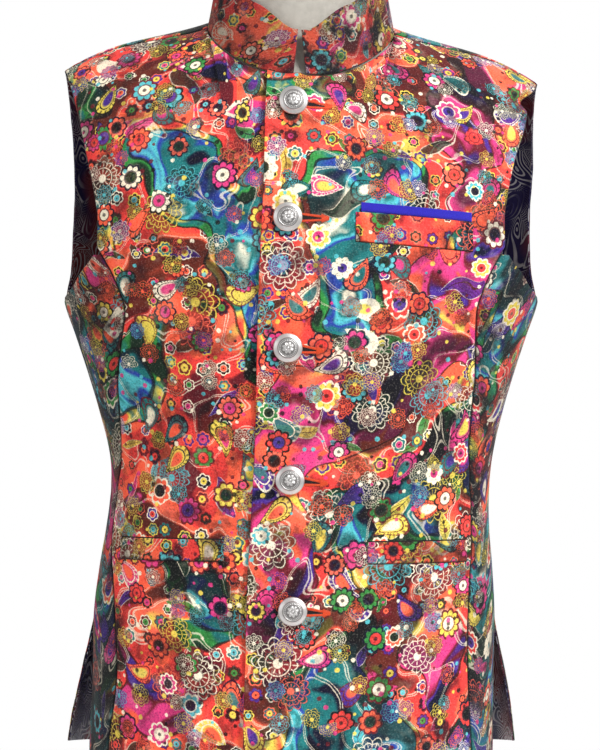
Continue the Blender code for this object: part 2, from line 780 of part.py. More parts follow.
PANELS = {}
for part_name, part_face, part_rows, part_seams, part_colour in (
        ("front_left", "front", front_rows(1.0, LEFT_COLLAR_END, True),
         ("last_row", "last_column"), (0.68, 0.2, 0.12)),
        ("front_right", "front", front_rows(-1.0, -RIGHT_COLLAR_END, False),
         ("last_row", "last_column"), (0.66, 0.24, 0.14)),
        ("side_left", "front", side_rows(1.0), ("first_column", "last_column"), (0.2, 0.25, 0.2)),
        ("side_right", "front", side_rows(-1.0), ("first_column", "last_column"), (0.15, 0.2, 0.25)),
):
    PANELS[part_name] = cloth_panel(part_name, part_face, part_rows, CLOTH, part_seams,
                                    new_material(part_name, part_colour, 0.85))

BACK_SEAMS = ("last_row", "first_column", "last_column")
PANELS["back"] = cloth_panel("back", "back", back_rows(), BACK_CLOTH, BACK_SEAMS,
                             new_material("back", (0.6, 0.25, 0.2), 0.85))
LINING_OUT = PANELS["back"]["points"] - PANELS["back"]["normals"] * (BACK_CLOTH + LINING_GAP)
LINING_IN = LINING_OUT - PANELS["back"]["normals"] * LINING
for lining_grid in (LINING_OUT, LINING_IN):
    for lining_edge in BACK_SEAMS + ("first_row",):
        draw_in(lining_grid, lining_edge, LINING_SHORT)
wall_from_grids("back_lining", LINING_OUT, LINING_IN, new_material("back_lining", (0.02, 0.02, 0.05), 0.35))

COLLAR_OUT, COLLAR_IN = collar_grids()
wall_from_grids("collar", COLLAR_OUT, COLLAR_IN, new_material("collar", (0.7, 0.2, 0.12), 0.85))

WELT_COLOURS = {"print": (0.7, 0.22, 0.1), "cobalt": (0.03, 0.03, 0.5)}
for welt_row in WELTS:
    this_welt = dict(zip(WELT_COLUMNS, welt_row))
    welt(this_welt, PANELS, new_material(this_welt["name"], WELT_COLOURS[this_welt["colour"]], 0.85))

for number, (button_x, button_z) in enumerate(BUTTONS, start=1):
    button_spot, button_way = on_panel(PANELS["front_left"], button_x, button_z)
    button("button_%d" % number, button_spot, button_way,
           new_material("button_%d" % number, (0.75, 0.75, 0.75), 0.3, 1.0))

dress_form(new_material("dress_form", (0.66, 0.64, 0.6), 0.9))
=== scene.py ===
import math

import bpy
import numpy as np
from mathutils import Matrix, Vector


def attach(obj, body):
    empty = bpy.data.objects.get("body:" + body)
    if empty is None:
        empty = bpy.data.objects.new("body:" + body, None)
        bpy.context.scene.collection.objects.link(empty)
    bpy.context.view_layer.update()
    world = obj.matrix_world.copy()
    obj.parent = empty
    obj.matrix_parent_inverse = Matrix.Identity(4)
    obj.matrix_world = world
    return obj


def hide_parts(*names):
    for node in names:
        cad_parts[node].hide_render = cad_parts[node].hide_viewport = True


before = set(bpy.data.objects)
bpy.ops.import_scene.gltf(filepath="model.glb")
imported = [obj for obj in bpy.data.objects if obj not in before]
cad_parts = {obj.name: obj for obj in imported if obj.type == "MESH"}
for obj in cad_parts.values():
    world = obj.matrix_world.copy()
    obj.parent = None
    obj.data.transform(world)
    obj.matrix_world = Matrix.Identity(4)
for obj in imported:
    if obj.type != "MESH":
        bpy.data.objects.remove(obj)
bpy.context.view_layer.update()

# Camera where the photograph's own stood: level, 2.8 m in front of the jacket's middle.
camera = bpy.data.objects.new("camera", bpy.data.cameras.new("camera"))
camera.data.sensor_width = 36.0
camera.data.lens = 154.6
camera.location = (-0.0009, -2.7947, 0.4017)
camera.rotation_euler = (math.radians(90.0), 0.0, 0.0)
bpy.context.scene.collection.objects.link(camera)
bpy.context.scene.camera = camera


# Stage: a pale floor that fades out into a white sweep all round, lit by a large soft lamp
# high on the viewer's right, a weak one on the left and one behind.
class Wire:
    """A node socket that does arithmetic: sums, products and the like add Math nodes."""

    def __init__(self, tree, socket):
        self.tree = tree
        self.socket = socket

    def node(self, kind, settings, values, out=0):
        """Add a node, set it, then link or fill its inputs, and give one of its outputs."""
        made = self.tree.nodes.new("ShaderNode" + kind)
        for name, value in settings.items():
            setattr(made, name, value)
        for place, value in values.items():
            if isinstance(value, Wire):
                self.tree.links.new(value.socket, made.inputs[place])
            else:
                made.inputs[place].default_value = value
        return Wire(self.tree, made.outputs[out])

    def other(self, name):
        """Another output of the same node."""
        return Wire(self.tree, self.socket.node.outputs[name])

    def math(self, operation, *others):
        return self.node("Math", {"operation": operation}, dict(enumerate((self,) + others)))

    def vector(self, operation, *others, out=0):
        values = dict(enumerate((self,) + others))
        return self.node("VectorMath", {"operation": operation}, values, out)

    def __add__(self, other):
        return self.math("ADD", other)

    __radd__ = __add__

    def __sub__(self, other):
        return self.math("SUBTRACT", other)

    def __rsub__(self, other):
        return self * -1.0 + other

    def __mul__(self, other):
        return self.math("MULTIPLY", other)

    __rmul__ = __mul__

    def __truediv__(self, other):
        return self.math("DIVIDE", other)

    def __rtruediv__(self, other):
        return self.math("POWER", -1.0) * other

    def rise(self, low, high):
        """0 below low, 1 above high, and a soft step between."""
        return self.node("MapRange", {"interpolation_type": "SMOOTHSTEP"},
                         {0: self, 1: low, 2: high, 3: 0.0, 4: 1.0})

    def fall(self, low, high):
        return self.node("MapRange", {"interpolation_type": "SMOOTHSTEP"},
                         {0: self, 1: low, 2: high, 3: 1.0, 4: 0.0})

    def mix(self, other, factor, blend="MIX"):
        """This colour with another laid over it by factor."""
        return self.node("Mix", {"data_type": "RGBA", "blend_type": blend},
                         {0: factor, 6: self, 7: other}, 2)

    def noise(self, scale, detail=2.0, out="Fac", rough=0.5):
        values = {"Vector": self, "Scale": scale, "Detail": detail, "Roughness": rough}
        return self.node("TexNoise", {"noise_dimensions": "2D"}, values, out)

    def solid_noise(self, scale, detail):
        """Noise on places in space, for pieces that have no flat cut."""
        return self.node("TexNoise", {}, {"Vector": self, "Scale": scale, "Detail": detail})

    def cells(self, scale, feature="F1", out="Distance", randomness=1.0):
        return self.node("TexVoronoi", {"voronoi_dimensions": "2D", "feature": feature},
                         {"Vector": self, "Scale": scale, "Randomness": randomness}, out)

    def ramp(self, stops, interpolation="LINEAR"):
        """Colour by value: stops are (place, colour)."""
        made = self.node("ValToRGB", {}, {0: self})
        band = made.socket.node.color_ramp
        band.interpolation = interpolation
        while len(band.elements) < len(stops):
            band.elements.new(1.0)
        for element, (place, colour) in zip(band.elements, stops):
            element.position = place
        for element, (place, colour) in zip(band.elements, stops):
            element.color = (*colour, 1.0)
        return made


def tint(red, green, blue):
    """Colour as seen, 0 to 255 a channel, turned into the light it stands for."""
    return tuple((part / 255.0) ** 2.2 for part in (red, green, blue))


def new_material(name, sheen=0.0, metallic=0.0):
    """Material with one Principled shader; gives it, its UV wire and the shader."""
    material = bpy.data.materials.new(name)
    material.use_nodes = True
    tree = material.node_tree
    shader = tree.nodes["Principled BSDF"]
    shader.inputs["Sheen Weight"].default_value = sheen
    shader.inputs["Sheen Roughness"].default_value = 0.45
    shader.inputs["Metallic"].default_value = metallic
    uv = Wire(tree, tree.nodes.new("ShaderNodeTexCoord").outputs["UV"])
    return material, uv, shader


def finish_material(wire, shader, colour, roughness, height=None, depth=0.001, strength=1.0):
    """Lead colour, roughness and bump to the shader."""
    for name, value in (("Base Color", colour), ("Roughness", roughness)):
        if isinstance(value, Wire):
            wire.tree.links.new(value.socket, shader.inputs[name])
        elif name == "Base Color":
            shader.inputs[name].default_value = (*value, 1.0)
        else:
            shader.inputs[name].default_value = value
    if height is not None:
        bump = wire.node("Bump", {}, {"Strength": strength, "Distance": depth, "Height": height})
        wire.tree.links.new(bump.socket, shader.inputs["Normal"])


def add_mesh(name, points, faces):
    """Object at the origin with its place in its mesh."""
    mesh = bpy.data.meshes.new(name)
    mesh.from_pydata([tuple(p) for p in points], [], faces)
    thing = bpy.data.objects.new(name, mesh)
    bpy.context.scene.collection.objects.link(thing)
    return thing


def ring_faces(bands, sides):
    """Faces between rings of points that lie one after the other."""
    return [(low + j, low + (j + 1) % sides, low + sides + (j + 1) % sides, low + sides + j)
            for low in range(0, bands * sides, sides) for j in range(sides)]


SIDES = 64
BANDS = 16
FLOOR_RADIUS = 0.8
SWEEP_RADIUS = 9.0
turns = [math.tau * k / SIDES for k in range(SIDES)]
floor_rim = [(FLOOR_RADIUS * math.cos(t), FLOOR_RADIUS * math.sin(t), 0.0) for t in turns]
floor = add_mesh("floor", floor_rim, [tuple(range(SIDES))])
floor_material, floor_uv, floor_shader = new_material("floor")
floor_far = floor_uv.other("Object").vector("LENGTH", out="Value")
floor_speck = floor_uv.other("Object").noise(90.0)
floor_colour = floor_speck.ramp([(0.3, (0.86, 0.86, 0.86)), (0.7, (0.9, 0.9, 0.9))])
finish_material(floor_uv, floor_shader, floor_colour, 0.8)
floor_uv.tree.links.new(floor_far.fall(0.3, 0.75).socket, floor_shader.inputs["Alpha"])
floor.data.materials.append(floor_material)

tilts = [math.pi * k / BANDS for k in range(BANDS + 1)]
rings = [(SWEEP_RADIUS * math.sin(tilt), SWEEP_RADIUS * math.cos(tilt)) for tilt in tilts]
sweep = add_mesh("sweep", [(r * math.cos(t), r * math.sin(t), z) for r, z in rings for t in turns],
                 ring_faces(BANDS, SIDES))
sweep_material, _, sweep_shader = new_material("sweep")
sweep_shader.inputs["Base Color"].default_value = (0.0, 0.0, 0.0, 1.0)
sweep_shader.inputs["Specular IOR Level"].default_value = 0.0
sweep_shader.inputs["Emission Color"].default_value = (1.0, 1.0, 1.0, 1.0)
sweep_shader.inputs["Emission Strength"].default_value = 1.0
sweep.data.materials.append(sweep_material)
sweep.visible_diffuse = False
sweep.visible_glossy = False
sweep.visible_shadow = False

world = bpy.data.worlds.new("studio")
world.use_nodes = True
world.node_tree.nodes["Background"].inputs["Color"].default_value = (1.0, 1.0, 1.0, 1.0)
world.node_tree.nodes["Background"].inputs["Strength"].default_value = 0.5
bpy.context.scene.world = world
bpy.context.scene.view_settings.view_transform = "Standard"

for lamp_name, lamp_place, lamp_size, lamp_power in (
        ("key", (1.7, -2.0, 2.1), 1.1, 94.0),
        ("fill", (-2.2, -1.6, 1.0), 1.6, 7.0),
        ("rear", (0.6, 2.4, 2.2), 1.8, 34.0),
):
    lamp = bpy.data.objects.new(lamp_name, bpy.data.lights.new(lamp_name, "AREA"))
    lamp.data.shape = "DISK"
    lamp.data.size = lamp_size
    lamp.data.energy = lamp_power
    lamp.location = lamp_place
    lamp_way = Vector((0.0, 0.0, 0.45)) - Vector(lamp_place)
    lamp.rotation_euler = lamp_way.to_track_quat("-Z", "Y").to_euler()
    bpy.context.scene.collection.objects.link(lamp)


# Printed velvet of the jacket: a soft cotton pile, screen printed in many colours, that the
# body, collar and welts are cut from. The design is flowers, drops and leaves on washed grounds.
PRINT_COLOURS = {
    "fire": tint(224, 44, 18),
    "orange": tint(242, 96, 34),
    "coral": tint(234, 106, 74),
    "rose": tint(214, 44, 132),
    "wine": tint(118, 20, 44),
    "teal": tint(30, 128, 128),
    "aqua": tint(92, 190, 196),
    "green": tint(60, 150, 76),
    "moss": tint(40, 66, 50),
    "yellow": tint(228, 206, 84),
    "violet": tint(86, 48, 148),
    "blue": tint(34, 72, 164),
    "navy": tint(22, 26, 58),
    "coal": tint(32, 30, 34),
    "cream": tint(236, 226, 204),
}
COAL = (*PRINT_COLOURS["coal"], 1.0)
CREAM = (*PRINT_COLOURS["cream"], 1.0)


def palette(names):
    """Even steps of named colours, for a ramp read with a random number."""
    colours = [PRINT_COLOURS[name] for name in names.split()]
    return [(k / len(colours), colour) for k, colour in enumerate(colours)]


def wash(value, low, high, names):
    """A ground that runs softly through named colours between two values."""
    colours = [PRINT_COLOURS[name] for name in names.split()]
    step = (high - low) / (len(colours) - 1)
    return value.ramp([(low + k * step, colour) for k, colour in enumerate(colours)], "EASE")


def local_frame(uv, scale, randomness=0.85):
    """Cell of a random layout: offsets from its middle, turned at random, and random numbers."""
    near = uv.cells(scale, randomness=randomness)
    chance = near.node("SeparateColor", {}, {0: near.other("Color")})
    offset = uv.vector("SUBTRACT", near.other("Position"))
    turned = offset.node("VectorRotate", {"rotation_type": "Z_AXIS"},
                         {"Vector": offset, "Angle": chance.other("Blue") * math.tau})
    x = turned.node("SeparateXYZ", {}, {0: turned})
    y = x.other("Y")
    far = (x * x + y * y).math("SQRT")
    return x, y, far, y.math("ARCTAN2", x), chance, chance.other("Green"), chance.other("Blue")


def pick(chance, times, names):
    """One of the named colours, by a random number that is spread out first."""
    return (chance * times).math("FRACT").ramp(palette(names), "CONSTANT")


def some(chance, times, share):
    """1 in this share of the cells and 0 in the others."""
    return (chance * times).math("FRACT").fall(share - 0.001, share)


def line_at(value, width):
    """A printed line where the value is near nought, this wide."""
    return value.math("ABSOLUTE").fall(width * 0.5, width)


def blossoms(uv, colour, scale, size, share, fills, hearts, rims, petals,
             randomness=0.85, where=None):
    """Filled flowers with a rim, shaded petals and a heart, in a share of the cells."""
    x, y, far, turn, one, two, three = local_frame(uv, scale, randomness)
    lobes = (turn * (two * 3.0 + petals).math("ROUND") * 0.5).math("COSINE").math("ABSOLUTE")
    reach = (one * 0.4 + 0.7) * size
    part = far / reach
    shown = some(two, 7.0, share)
    if where is not None:
        shown = shown * where
    petal = pick(one, 7.0, fills)
    heart = pick(three, 5.0, hearts)
    rim = pick(two, 9.0, rims)
    flower = petal.mix(heart, part.fall(0.42, 0.5))
    flower = flower.mix(rim, line_at(part - 0.5, 0.07) * 0.8)
    flower = flower.mix(COAL, part.fall(0.1, 0.2) * 0.8)
    flower = flower.mix(COAL, lobes.fall(0.0, 0.5) * part.rise(0.5, 0.62) * 0.5)
    edge = part - (lobes * 0.22 + 0.78)
    flower = flower.mix(rim, line_at(edge, 0.13))
    return colour.mix(flower, edge.fall(0.06, 0.12) * shown * 0.94)


def etched(uv, colour, scale, size, share, petals, lights, darks):
    """Large flowers drawn in fine lines over the ground, which they only tint."""
    x, y, far, turn, one, two, three = local_frame(uv, scale, 0.9)
    count = (two * 4.0 + petals).math("ROUND")
    part = far / ((one * 0.35 + 0.75) * size)
    lobes = (turn * count * 0.5).math("COSINE").math("ABSOLUTE")
    edge = part - (lobes * 0.2 + 0.8)
    inside = edge.fall(0.0, 0.03) * some(three, 5.0, share)
    veins = (turn * count * 2.0).math("COSINE").rise(0.72, 0.95)
    veins = veins * part.rise(0.5, 0.54) * part.fall(0.74, 0.8)
    stamens = (turn * count).math("COSINE").rise(0.6, 0.9)
    stamens = stamens * part.rise(0.2, 0.24) * part.fall(0.36, 0.42)
    lines = line_at(part - 0.46, 0.03).math("MAXIMUM", line_at(edge + 0.04, 0.035))
    lines = lines.math("MAXIMUM", line_at(part - (lobes * 0.1 + 0.62), 0.03)).math("MAXIMUM", veins)
    lines = lines.math("MAXIMUM", line_at(part - 0.16, 0.04)).math("MAXIMUM", stamens)
    light = pick(one, 5.0, lights)
    dark = pick(two, 5.0, darks)
    drawn = colour.mix(dark, inside * 0.62)
    drawn = drawn.mix(light, inside * part.fall(0.13, 0.17) * 0.9)
    return drawn.mix(light, inside * lines * 0.75)


def drops(uv, colour, scale, size, share, fills, rims):
    """Bent paisley drops with an inner line, in a share of the cells."""
    x, y, far, turn, one, two, three = local_frame(uv, scale)
    long = y / size
    bent = x / size - long * long * (one * 0.9 - 0.45)
    wide = 0.5 - long * 0.34
    reach = ((bent / wide).math("POWER", 2.0) + long * long).math("SQRT")
    shown = some(two, 3.0, share)
    body = pick(one, 5.0, fills)
    core = pick(three, 4.0, fills)
    rim = pick(two, 5.0, rims)
    drop = body.mix(core, reach.fall(0.4, 0.62))
    teeth = (turn * 17.0).math("COSINE").rise(0.1, 0.7) * reach.rise(0.74, 0.8)
    drop = drop.mix(rim, teeth * 0.7)
    drop = drop.mix(rim, line_at(reach - 0.68, 0.05) + line_at(reach - 1.0, 0.07))
    return colour.mix(drop, reach.fall(1.02, 1.07) * shown * 0.9)


def leaves(uv, colour, scale, size, share, fills):
    """Narrow veined leaves, in a share of the cells."""
    x, y, far, turn, one, two, three = local_frame(uv, scale)
    long = y / size
    wide = x.math("ABSOLUTE") / (1.02 - long * long) / (size * 0.34)
    veins = ((long * 4.5 - wide * 0.9) * math.tau).math("COSINE").rise(0.5, 0.9)
    shown = some(two, 5.0, share) * long.math("ABSOLUTE").fall(0.97, 0.99)
    leaf = pick(one, 5.0, fills)
    leaf = leaf.mix(COAL, (veins * 0.5).math("MAXIMUM", wide.fall(0.04, 0.1)))
    leaf = leaf.mix(CREAM, line_at(wide - 0.92, 0.12) * 0.7)
    return colour.mix(leaf, wide.fall(0.98, 1.04) * shown * 0.85)


def dots(uv, colour, scale, size, share, fills):
    """Small round dots in a share of the cells."""
    near = uv.cells(scale, randomness=0.75)
    chance = near.node("SeparateColor", {}, {0: near.other("Color")})
    far = uv.vector("DISTANCE", near.other("Position"), out="Value")
    shown = chance.other("Green").fall(share - 0.001, share)
    dot = (far - chance.other("Blue") * size * 0.5).fall(size * 0.4, size * 0.65)
    return colour.mix(chance.ramp(palette(fills), "CONSTANT"), dot * shown * 0.85)


def shaken(uv, by, reach, detail=2.0):
    """The same places, pushed about by a noise of this scale and reach."""
    push = uv.noise(by, detail, "Color").vector("SUBTRACT", (0.5, 0.5, 0.5))
    return uv.vector("ADD", push.vector("MULTIPLY", (reach, reach, 0.0)))


def print_material(name, warm_from=0.442, warm_to=0.62, coal_from=0.545, dark=0.0):
    """The print. warm_from and warm_to bound the red ground, coal_from the black one."""
    material, uv, shader = new_material(name, sheen=0.06)
    shader.inputs["Specular IOR Level"].default_value = 0.2
    cloth = shaken(uv, 1300.0, 0.0013, 1.0)
    swayed = shaken(cloth, 11.0, 0.075)
    field = swayed.noise(6.5, 1.0)
    tone = shaken(swayed, 30.0, 0.02).noise(19.0, 2.5)
    other = swayed.vector("ADD", (5.3, 2.7, 0.0)).noise(10.0, 2.0)
    warm = wash(tone, 0.3, 0.72, "wine fire fire fire orange orange coral yellow")
    cool = wash(tone, 0.3, 0.72, "coal navy teal teal blue aqua teal cream")
    hot = wash(tone, 0.3, 0.72, "navy violet wine rose rose orange coral yellow")
    lush = wash(tone, 0.3, 0.72, "coal moss moss green teal yellow orange fire")
    colour = cool.mix(lush, field.rise(warm_from - 0.035, warm_from - 0.03))
    colour = colour.mix(warm, field.rise(warm_from, warm_from + 0.006))
    colour = colour.mix(hot, field.rise(warm_to, warm_to + 0.006))
    outline = line_at(field - warm_from - 0.003, 0.006) + line_at(field - warm_from + 0.033, 0.005)
    colour = colour.mix(COAL, (outline + line_at(field - warm_to, 0.006)) * 0.8)
    coal = other.rise(coal_from, coal_from + 0.05)
    colour = colour.mix(COAL, coal * 0.82)
    for level in (0.415, 0.43, 0.545, 0.556):
        vine = line_at(other - level, 0.0035)
        colour = colour.mix(CREAM, vine * 0.6)
    on_warm = field.rise(warm_from, warm_from + 0.01) * field.fall(warm_to - 0.01, warm_to)
    colour = leaves(swayed, colour, 26.0, 0.016, 0.4, "green yellow rose moss aqua violet")
    colour = blossoms(cloth, colour, 62.0, 0.0062, 0.72, "moss wine coal violet teal navy",
                      "green orange fire rose yellow aqua", "cream coral yellow wine", 5.0,
                      0.45, on_warm)
    colour = etched(cloth, colour, 21.0, 0.021, 0.42, 9.0,
                    "cream yellow aqua coral cream", "moss coal navy wine")
    colour = drops(cloth, colour, 27.0, 0.0155, 0.42,
                   "yellow rose teal orange violet cream", "coal navy cream wine")
    colour = blossoms(cloth, colour, 34.0, 0.0118, 0.42,
                      "orange yellow rose fire aqua coral cream green",
                      "violet coal fire navy moss rose cream", "coal navy cream wine", 7.0)
    colour = etched(cloth, colour, 46.0, 0.0095, 0.38, 7.0,
                    "cream orange aqua yellow", "coal wine moss violet")
    colour = dots(cloth, colour, 130.0, 0.0022, 0.24, "cream coal rose yellow wine aqua")
    speckle = uv.noise(620.0, 3.0, rough=0.75)
    cloud = uv.noise(34.0, 4.0, rough=0.6)
    # dark darkens the whole print evenly; on the side panels this is painted shade.
    colour = colour.mix((0.018, 0.015, 0.02, 1.0), cloud.rise(0.46, 0.74) * 0.62 + dark)
    colour = colour.mix(CREAM, cloud.fall(0.26, 0.42) * 0.12)
    colour = colour.mix((0.02, 0.015, 0.02, 1.0), speckle.rise(0.54, 0.7) * 0.55)
    colour = colour.mix((0.75, 0.7, 0.62, 1.0), speckle.fall(0.3, 0.42) * 0.16)
    # Painted shade: the colour goes nearly black along seams, as much as the "seam" mark says.
    colour = colour.mix((0.01, 0.01, 0.012, 1.0),
                        uv.node("Attribute", {"attribute_name": "seam"}, {}, "Fac") * 0.85)
    colour = colour.node("Gamma", {}, {"Color": colour, "Gamma": 1.3})
    colour = colour.node("HueSaturation", {}, {"Saturation": 0.95, "Value": 1.5, "Color": colour})
    relief = speckle * 0.5 + cloud * 1.2
    finish_material(uv, shader, colour, speckle * 0.25 + 0.6, relief, 0.0007, 0.75)
    return material


# Body of the jacket: five panels of printed velvet, each a soft wall that hangs from the
# shoulders. They repeat the CAD model's formulas on a finer grid, in millimetres.
CHEST = 510.0
ARMHOLE_FOOT = 463.0
HEM_BLEND = 140.0
ROUNDNESS = 2.2
SIDE_SEAM_ANGLE = 91.0
DEPTH_SHIFT = 5.3
SHOULDER_HALF = 206.0
CHEST_HALF = 209.0
FRONT_FOOT = -121.0
BACK_FOOT = 117.0
NECK_HALF = 81.0
NECK_CENTRE = -14.0
SECTIONS = {
    "height": (40, 90, 135, 167, 195, 236, 268, 293, 323, 374, 407, 437, 463, 510),
    "half_front": (175.5, 175, 174, 174, 174, 170.5, 166.5, 164.5, 165, 176, 186, 196, 205, 209),
    "half_back": (197, 194.5, 187, 180, 174.3, 170.5, 166.5, 164.5, 165, 176, 186, 196, 205, 209),
    "depth_front": (112, 112, 111, 110, 109, 108, 107, 106, 107, 113, 118, 121, 122, 121),
    "depth_back": (121, 120, 117, 114, 111, 108, 105, 103, 102, 106, 110, 113, 115, 117),
    "sway": (-8.5, -8.5, -7, -6.5, -6, -4.5, -3, -1.5, 0, 0, 0, 0, 0, 0),
}
FRONT_EDGE = {
    "height": (50, 113, 247, 338, 394, 490, 560, 600, 660),
    "across": (-48.5, -47.5, -43.5, -38.5, -37, -34.5, -31, -30, -28),
}
FRONT_SEAM = {
    "height": (40, 90, 150, 190, 222, 262, 295, 330, 362, 394, 430, 463, 475, 487, 499, 510),
    "right": (62, 61.5, 58.5, 60, 63.5, 71.5, 73, 68.5, 63, 58, 50.5, 45.5, 46.5, 48.5, 51.5, 54.5),
    "left": (60.5, 60, 57.5, 57, 58.5, 62, 62, 59, 55.5, 52.5, 48.5, 45.5, 46.5, 48.5, 51.5, 54.5),
}
ARMHOLE_EDGE = {
    "height": (463, 475, 487, 499, 510),
    "side": (91, 72.5, 65, 58.5, 54.5),
    "back": (89, 82.5, 78, 76, 75),
}
ARMHOLE = {
    "rise": (0, 0.15, 0.3, 0.45, 0.65, 0.85, 1),
    "front": (174, 173.5, 177, 182.5, 190.5, 199, 206),
    "back": (202.5, 201, 200.5, 201, 202.5, 204.5, 206),
}
FRONT_HEM = (52.0, 58.0, 86.0)
BACK_HEM = (74.0, 84.0)
EASE = {"front": (1.4, 1.0), "back": (1.2, 0.77)}
LEVEL_CLIMB = {"front": 60.0, "back": 90.0}


def curve(table, column, value):
    """Smooth curve through one column of a table, read at one value or at many."""
    xs = np.array(list(table.values())[0], dtype=float)
    ys = np.array(table[column], dtype=float)
    slopes = np.gradient(ys, xs)
    value = np.clip(value, xs[0], xs[-1])
    low = np.clip(np.searchsorted(xs, value, side="right") - 1, 0, len(xs) - 2)
    span = xs[low + 1] - xs[low]
    part = (value - xs[low]) / span
    rest = 1.0 - part
    start = ys[low] * (1.0 + 2.0 * part) * rest * rest + slopes[low] * span * part * rest * rest
    end = slopes[low + 1] * span * part * part * rest
    return start + ys[low + 1] * (3.0 - 2.0 * part) * part * part - end


def soft_step(part):
    return part * part * (3.0 - 2.0 * part)


def signed_power(value, power):
    return np.sign(value) * np.abs(value) ** power


def angle_at(across, half):
    """Angle round the body, in degrees, whose point lies this far from the centre line."""
    share = np.minimum(1.0, np.abs(across) / half)
    return np.sign(across) * np.degrees(np.arcsin(share ** (ROUNDNESS / 2.0)))


def ridge_at(across):
    """Depth of the line along the top of the shoulders."""
    return 5.0 * (1.0 - np.abs(across) / SHOULDER_HALF)


def ridge_height(across):
    return 735.0 - 0.36 * np.abs(across)


def bare_skin(face, angle, climb):
    """Points of the jacket's form. Past the chest line, climb counts degrees over the shoulder."""
    level = np.minimum(climb, CHEST)
    turn = np.radians(angle)
    across = curve(SECTIONS, "half_" + face, level) * signed_power(np.sin(turn), 2.0 / ROUNDNESS)
    inward = signed_power(np.cos(turn), 2.0 / ROUNDNESS)
    x = curve(SECTIONS, "sway", level) + across
    sign = -1.0 if face == "front" else 1.0
    behind = "back" if face == "front" else "front"
    own = curve(SECTIONS, "depth_" + face, level)
    depth = np.where(inward > 0.0, own, curve(SECTIONS, "depth_back", level))
    over = np.radians(np.maximum(climb - CHEST, 0.0))
    past = over > math.pi / 2.0
    share = np.abs(np.cos(over)) ** np.where(past, EASE[behind][0], EASE[face][0])
    rise = np.sin(over) ** np.where(past, EASE[behind][1], EASE[face][1])
    other = curve(SECTIONS, "depth_" + behind, CHEST)
    foot = np.where(past, -sign * other, sign * own) * inward
    ridge = ridge_at(across)
    low = climb <= CHEST
    y = np.where(low, sign * depth * inward, ridge + (foot - ridge) * share)
    top = ridge_height(across)
    z = np.where(low, climb, CHEST + (top - CHEST) * rise)
    return np.stack((x, y, z), axis=-1)


def skin(face, angle, climb):
    """Points of the form, and the directions out of the body."""
    step = 0.05
    aside = bare_skin(face, angle + step, climb) - bare_skin(face, angle - step, climb)
    up = bare_skin(face, angle, climb + step) - bare_skin(face, angle, climb - step)
    point = bare_skin(face, angle, climb)
    normal = np.cross(aside, up)
    normal /= np.linalg.norm(normal, axis=-1, keepdims=True)
    heart = np.stack((curve(SECTIONS, "sway", np.minimum(climb, CHEST)), 0.0 * climb,
                      np.minimum(point[..., 2], ARMHOLE_FOOT)), axis=-1)
    out = np.sum(normal * (point - heart), axis=-1, keepdims=True)
    return point, np.where(out < 0.0, -normal, normal)


def neck_seam_depth(across, behind):
    share = np.minimum(1.0, np.abs(across) / NECK_HALF)
    reach = 66.5 * (1.0 - share ** 1.85) ** (1.0 / 1.85)
    return NECK_CENTRE + np.where(behind, reach, -reach)


def climb_to_depth(across, depth, front_side):
    """Climb at which the front slope, or the back slope, reaches this depth."""
    inward = np.cos(np.radians(angle_at(across, CHEST_HALF))) ** (2.0 / ROUNDNESS)
    foot = np.where(front_side, FRONT_FOOT, BACK_FOOT) * inward
    ridge = ridge_at(across)
    share = np.clip((depth - ridge) / (foot - ridge), 0.0, 1.0)
    ease = np.where(front_side, EASE["front"][0], EASE["back"][0])
    return np.degrees(np.arccos(share ** (1.0 / ease)))


def panel_top(face, across):
    """Climb at which a front or the back ends: on the neck seam, or on the shoulder seam."""
    away = (np.abs(across) - NECK_HALF) / (SHOULDER_HALF - NECK_HALF)
    shoulder = climb_to_depth(across, NECK_CENTRE * (1.0 - away) - 0.4 * away, True)
    neck_depth = neck_seam_depth(across, face == "back")
    ridge = ridge_at(across)
    at_neck = climb_to_depth(across, neck_depth, neck_depth < ridge)
    at_neck = np.where((neck_depth < ridge) & (face == "back"), 180.0 - at_neck, at_neck)
    inside = np.abs(across) < NECK_HALF - 0.01
    return np.where(inside, at_neck, shoulder if face == "front" else 180.0 - shoulder)


def front_hem(angle):
    turn = np.abs(angle)
    seam = np.where(angle > 0.0, curve(FRONT_SEAM, "left", 52.0), curve(FRONT_SEAM, "right", 52.0))
    past = np.clip((turn - seam) / (SIDE_SEAM_ANGLE - seam), 0.0, 1.0)
    rise = FRONT_HEM[0] + (FRONT_HEM[1] - FRONT_HEM[0]) * (turn / seam) ** 2
    return np.where(turn <= seam, rise, FRONT_HEM[1] + (FRONT_HEM[2] - FRONT_HEM[1]) * past ** 2.5)


def row_climb(height, hem):
    """Rows follow the hem's curve at the bottom and lie level above HEM_BLEND."""
    part = (height - FRONT_HEM[0]) / (HEM_BLEND - FRONT_HEM[0])
    return np.where(height >= HEM_BLEND, height, hem + (HEM_BLEND - hem) * part)


def row_of_climb(face, part, top):
    level = np.minimum(top, LEVEL_CLIMB[face])
    return CHEST + part * level + (top - level) * part ** 4.0


def shares_from(start, pitch):
    """Share of a panel's width at which each column ends, counted along the chest line."""
    first = math.asin(start / NECK_HALF)
    neck = NECK_HALF * np.sin(np.linspace(first, math.pi / 2.0, int(95.0 / pitch)))
    angles = angle_at(neck, CHEST_HALF)
    last = angle_at(SHOULDER_HALF, CHEST_HALF)
    count = int(125.0 / pitch)
    outer = angles[-1] + (last - angles[-1]) * np.arange(1, count + 1) / count
    angles = np.concatenate((angles, outer))
    return (angles - angles[0]) / (angles[-1] - angles[0])


